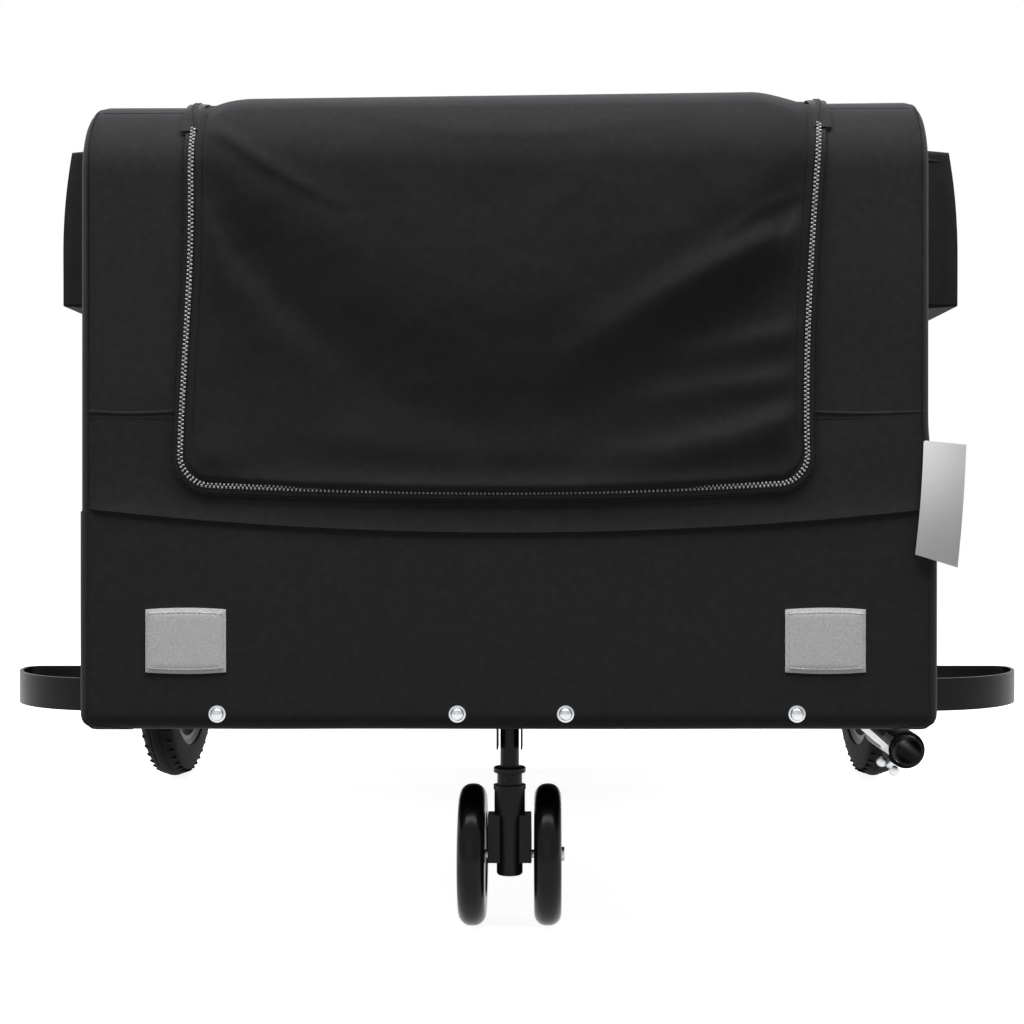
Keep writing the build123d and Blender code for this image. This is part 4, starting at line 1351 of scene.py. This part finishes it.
# ---------------------------------------------------------------- pouches and floor
class TRAILER_OT_pouches(bpy.types.Operator):
    """Sew the two side pouches, with a bound edge and a slack front"""
    bl_idname = "trailer.pouches"
    bl_label = "Side pouches"

    def execute(self, context):
        for name, side in SIDES.items():
            low, high = (Vector(c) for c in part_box(f"side_pouch_{name}"))
            depth_low, depth_high = 0.0268, 0.0202
            y0, y1, z0, z1 = low.y, high.y, low.z, high.z

            def face(u, t):
                y, z = y0 + (y1 - y0) * u, z0 + (z1 - z0) * t
                deep = depth_low + (depth_high - depth_low) * max(0.0, (t - 0.35) / 0.65) ** 2
                belly = 0.0010 * math.sin(math.pi * u) * math.sin(math.pi * t)
                rim = min(min(u, 1 - u) * (y1 - y0), min(t, 1 - t) * (z1 - z0))
                side_fall = 1 - max(0.0, 1 - rim / 0.0024) ** 3
                x = HALF - 0.0004 + (deep + belly + soft_puff((y, z, side), 0.03, 0.0012)
                                     * min(1.0, rim / 0.02)) * side_fall
                return Vector((side * x, y, z))

            piece = cloth_grid(70, 60, face, (side, 0, 0),
                               (y1 - y0, z1 - z0))
            thicken(piece, 0.0016)
            settle(piece, f"side_pouch_cloth_{name}", "oxford_polyester",
                   stands_for=[f"side_pouch_{name}"], crease=60)
            bound = []
            for y in divide(y0, y1, 40):
                fall = max(0.0, 1 - min(y - y0, y1 - y) / 0.0045)
                x = HALF - 0.0004 + depth_high * (1 - fall ** 2)
                bound.append((Vector((side * x, y, z1 - 0.0068)), Vector((side, 0, 0.2))))
            tape = ribbon(bound, 0.012, 0.0010, crown=0.0006, rows=3)
            settle(tape, f"pouch_binding_{name}", "polyester_webbing")
        return {"FINISHED"}


class TRAILER_OT_floor(bpy.types.Operator):
    """Lay the padded floor board inside the box"""
    bl_idname = "trailer.floor"
    bl_label = "Floor board"

    def execute(self, context):
        low, high = (Vector(c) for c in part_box("floor_panel"))

        def top(u, t):
            x = low.x + (high.x - low.x) * u
            y = low.y + (high.y - low.y) * t
            block = 0.040
            if abs(x) > high.x - block and min(y - low.y, high.y - y) < block:
                x = math.copysign(high.x - block, x)
            edge = min(min(u, 1 - u) * (high.x - low.x), min(t, 1 - t) * (high.y - low.y))
            return Vector((x, y, high.z - 0.0008 + 0.0008 * min(1.0, edge / 0.008)
                           + soft_puff((x, y, 7.7), 0.08, 0.0004) * min(1.0, edge / 0.03)))

        piece = cloth_grid(80, 120, top, (0, 0, 1),
                           (high.x - low.x, high.y - low.y))
        merge_points(piece)
        face_towards(piece, lambda place: Vector((0, 0, 1)))
        thicken(piece, 0.0032)
        settle(piece, "floor_board_cover", "oxford_polyester", stands_for=["floor_panel"])
        return {"FINISHED"}


# ---------------------------------------------------------------- wheels and fittings
LUGS = 56   # on each shoulder of a tyre


class TRAILER_OT_wheels(bpy.types.Operator):
    """Mould the treaded tyres and the ribs, bead rings and valves of the two rims"""
    bl_idname = "trailer.wheels"
    bl_label = "Wheels"

    def execute(self, context):
        for name, side in SIDES.items():
            low, high = (Vector(c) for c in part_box(f"tyre_{name}"))
            hub = (low + high) / 2
            half, reach = (high.x - low.x) / 2, (high.z - low.z) / 2
            deep = 0.019   # from the tread down to the middle of the tyre's round
            profile = []
            for a in divide(math.radians(22), math.radians(158), 48):
                along = -half * math.cos(a)
                groove = sum(math.exp(-((along - at) / 0.0011) ** 2) for at in (-0.0055, 0.0055))
                profile.append((along, reach - deep + deep * math.sin(a) - 0.0016 * groove))
            bead = reach - 0.0335
            profile = [(profile[0][0], bead), *profile, (profile[-1][0], bead)]
            tyre = lathe(profile, 128, "X", hub, closed=True)
            lug = bevelled_block((0.0052, 0.0088, 0.0024), 0.0005)
            places = []
            for row, tilt in ((-0.0108, 1), (0.0108, -1)):
                for k in range(LUGS):
                    a = 2 * math.pi * (k + (0.25 if tilt > 0 else 0.75)) / LUGS
                    out = Vector((row * 34, math.cos(a), math.sin(a))).normalized()
                    ring = reach - deep + deep * math.sqrt(1 - (row / half) ** 2) - 0.0006
                    at = hub + Vector((row, ring * math.cos(a), ring * math.sin(a)))
                    along = Vector((0.35 * tilt, -math.sin(a), math.cos(a))).normalized()
                    places.append((at, along, out))
            piece = join_pieces([tyre, copies(lug, places, "lugs")])
            settle(piece, f"tyre_tread_{name}", "black_tyre_rubber", body=f"wheel_{name}",
                   stands_for=[f"tyre_{name}"], crease=40)

            bead_ring = ((0.0112, 0.1150), (0.0112, 0.1185), (0.0128, 0.1192), (0.0140, 0.1180),
                         (0.0136, 0.1130), (0.0122, 0.1115), (0.0112, 0.1120))
            hub_ring = ((0.0225, 0.0150), (0.0232, 0.0152), (0.0236, 0.0165), (0.0232, 0.0188),
                        (0.0212, 0.0205), (0.0190, 0.0207), (0.0190, 0.0185))
            parts = []
            for face in (-1, 1):
                for ring, steps in ((bead_ring, 96), (hub_ring, 48)):
                    parts.append(lathe([(face * x, r) for x, r in ring], steps, "X", hub,
                                       closed=True))
                for k in range(6):
                    parts.append(self.rib(hub, face, math.radians(60 * k)))
            settle(join_pieces(parts), f"rim_ribs_{name}", "black_polypropylene",
                   body=f"wheel_{name}", crease=40)
            at = hub + Vector((side * 0.0040, 0.0, -0.1060))
            valve = lathe([(0.0, 0.0), (0.0, 0.0021), (0.0110, 0.0021), (0.0115, 0.0031),
                           (0.0210, 0.0031), (0.0220, 0.0024), (0.0220, 0.0)], 20, "Z",
                          at - Vector((0, 0, -0.0004)))
            valve.data.transform(Matrix.Translation(at + Vector((0, 0, 0.0002)))
                                 @ Matrix.Rotation(math.pi, 4, "X") @ Matrix.Translation(-at))
            settle(valve, f"valve_{name}", "black_tyre_rubber", body=f"wheel_{name}",
                   crease=40)
            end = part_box(f"axle_pin_{name}")[1 if side > 0 else 0][0]
            button = lathe([(0.0, 0.0), (0.0, 0.0052), (0.0012, 0.0052), (0.0016, 0.0046),
                            (0.0016, 0.0036), (0.0040, 0.0034), (0.0046, 0.0026), (0.0048, 0.0)],
                           28)
            put(button, (end, hub.y, hub.z), side)
            settle(button, f"axle_button_{name}", "bright_zinc_plate", crease=40)
        return {"FINISHED"}

    def rib(self, hub, face, angle):
        """A stiffening rib down the middle of a spoke, from the hub to the rim."""
        made = bevelled_block((0.0034, 0.0860, 0.0030), 0.0006, 2)
        made.data.transform(Matrix.Translation(hub) @ Matrix.Rotation(angle, 4, "X")
                            @ Matrix.Translation(Vector((face * 0.0058, 0.0630, 0))))
        return made


class TRAILER_OT_fittings(bpy.types.Operator):
    """Set the caster's collar ring, button and bearing shields and the drawbar's clamp"""
    bl_idname = "trailer.fittings"
    bl_label = "Caster fittings"

    def execute(self, context):
        _, wheel_y, wheel_z = middle_of("caster_axle")
        stem_y, top = wheel_y - 0.022, wheel_z + 0.066
        ring = lathe([(-0.0040, 0.0095), (-0.0040, 0.0108), (-0.0034, 0.0113), (-0.0008, 0.0113),
                      (-0.0002, 0.0107), (-0.0002, 0.0095)], 48, "Z", (0, stem_y, top), True)
        collar = (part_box("caster_post")[1][0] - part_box("caster_post")[0][0]) / 2
        button = lathe([(0.0, 0.0030), (0.0010, 0.0030), (0.0013, 0.0026), (0.0013, 0.0018),
                        (0.0004, 0.0016), (0.0003, 0.0)], 24, "-Y",
                       (0.0006, stem_y - collar + 0.0003, 0.1095))
        settle(join_pieces([ring, button]), "caster_collar_ring", "black_powder_coat",
               crease=40)
        shields = []
        for side in (-1, 1):
            shield = lathe([(0.0, 0.0058), (0.0006, 0.0060), (0.0010, 0.0075), (0.0010, 0.0115),
                            (0.0004, 0.0125), (0.0, 0.0125)], 40, closed=True)
            put(shield, (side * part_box("caster_hubs")[1][0], wheel_y, wheel_z), side)
            shields.append(shield)
        settle(join_pieces(shields), "caster_bearing_shields", "bright_zinc_plate",
               body="caster_wheels", crease=40)
        self.drawbar()
        return {"FINISHED"}

    def drawbar(self):
        """The rubber sleeve of the drawbar's clamp and its small wing screw."""
        low, high = (Vector(c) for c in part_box("drawbar_socket"))
        axis, front = (low + high) / 2, low.y + 0.010
        sleeve = lathe([(-0.0006, 0.0112), (-0.0006, 0.0136), (-0.0002, 0.0141), (0.0302, 0.0141),
                        (0.0306, 0.0136), (0.0306, 0.0112), (0.0303, 0.0112), (0.0303, 0.0134),
                        (-0.0003, 0.0134), (-0.0003, 0.0112)], 48, "Y",
                       (axis.x, front, axis.z), True)
        for vertex in sleeve.data.vertices:
            away = Vector((vertex.co.x - axis.x, 0, vertex.co.z - axis.z))
            if away.x < -0.009 and away.z > -0.004 and away.length > 0.0125:
                vertex.co -= away.normalized() * 0.0007
        settle(sleeve, "drawbar_clamp_sleeve", "black_tyre_rubber",
               crease=40)
        out = Vector((-0.60, 0, -0.80)).normalized()
        across = Vector((out.z, 0, -out.x))
        middle = Vector((axis.x, front + 0.015, axis.z))
        parts = [lathe([(0.0, 0.0), (0.0, 0.0034), (0.0040, 0.0034), (0.0052, 0.0026),
                        (0.0056, 0.0)], 24)]
        for sign in (-1, 1):
            calm()
            bpy.ops.mesh.primitive_uv_sphere_add(segments=24, ring_count=14, radius=1)
            lobe = bpy.context.object
            lobe.data.transform(Matrix.Translation(Vector((0.0046, 0, sign * 0.0058)))
                                @ Matrix.Rotation(sign * 0.5, 4, "Y")
                                @ Matrix.Diagonal((0.0040, 0.0012, 0.0042, 1)))
            parts.append(lobe)
        screw = join_pieces(parts)
        turn = Matrix(((out.x, 0, across.x), (0, 1, 0), (out.z, 0, across.z))).to_4x4()
        screw.data.transform(Matrix.Translation(middle + out * 0.0136) @ turn)
        settle(screw, "drawbar_wing_screw_head", "bright_zinc_plate",
               stands_for=["drawbar_wing_screw"], crease=50)


# ---------------------------------------------------------------- add-on
STEPS = (TRAILER_OT_stage, TRAILER_OT_finishes, TRAILER_OT_front_cloth,
         TRAILER_OT_roof_and_rear, TRAILER_OT_side_cloth, TRAILER_OT_windows,
         TRAILER_OT_flap, TRAILER_OT_zips, TRAILER_OT_seams, TRAILER_OT_trim,
         TRAILER_OT_pouches, TRAILER_OT_floor, TRAILER_OT_wheels, TRAILER_OT_fittings)


class TRAILER_PT_panel(bpy.types.Panel):
    """Lists the trailer's settings and the steps that make it"""
    bl_idname = "TRAILER_PT_panel"
    bl_label = "Bicycle trailer"
    bl_space_type = "VIEW_3D"
    bl_region_type = "UI"
    bl_category = "Trailer"

    def draw(self, context):
        for group in (context.scene.trailer_colours, context.scene.trailer_sizes):
            box = self.layout.box()
            for name in group.bl_rna.properties.keys():
                if name not in ("rna_type", "name"):
                    box.prop(group, name)
        for step in STEPS:
            self.layout.operator(step.bl_idname)


CLASSES = (TrailerColours, TrailerSizes, *STEPS, TRAILER_PT_panel)


def register():
    for kind in CLASSES:
        bpy.utils.register_class(kind)
    bpy.types.Scene.trailer_colours = bpy.props.PointerProperty(type=TrailerColours)
    bpy.types.Scene.trailer_sizes = bpy.props.PointerProperty(type=TrailerSizes)


def unregister():
    del bpy.types.Scene.trailer_sizes
    del bpy.types.Scene.trailer_colours
    for kind in reversed(CLASSES):
        bpy.utils.unregister_class(kind)


def main():
    register()
    calm()
    for step in STEPS:
        getattr(bpy.ops.trailer, step.bl_idname.split(".")[1])()


if __name__ == "__main__":
    main()
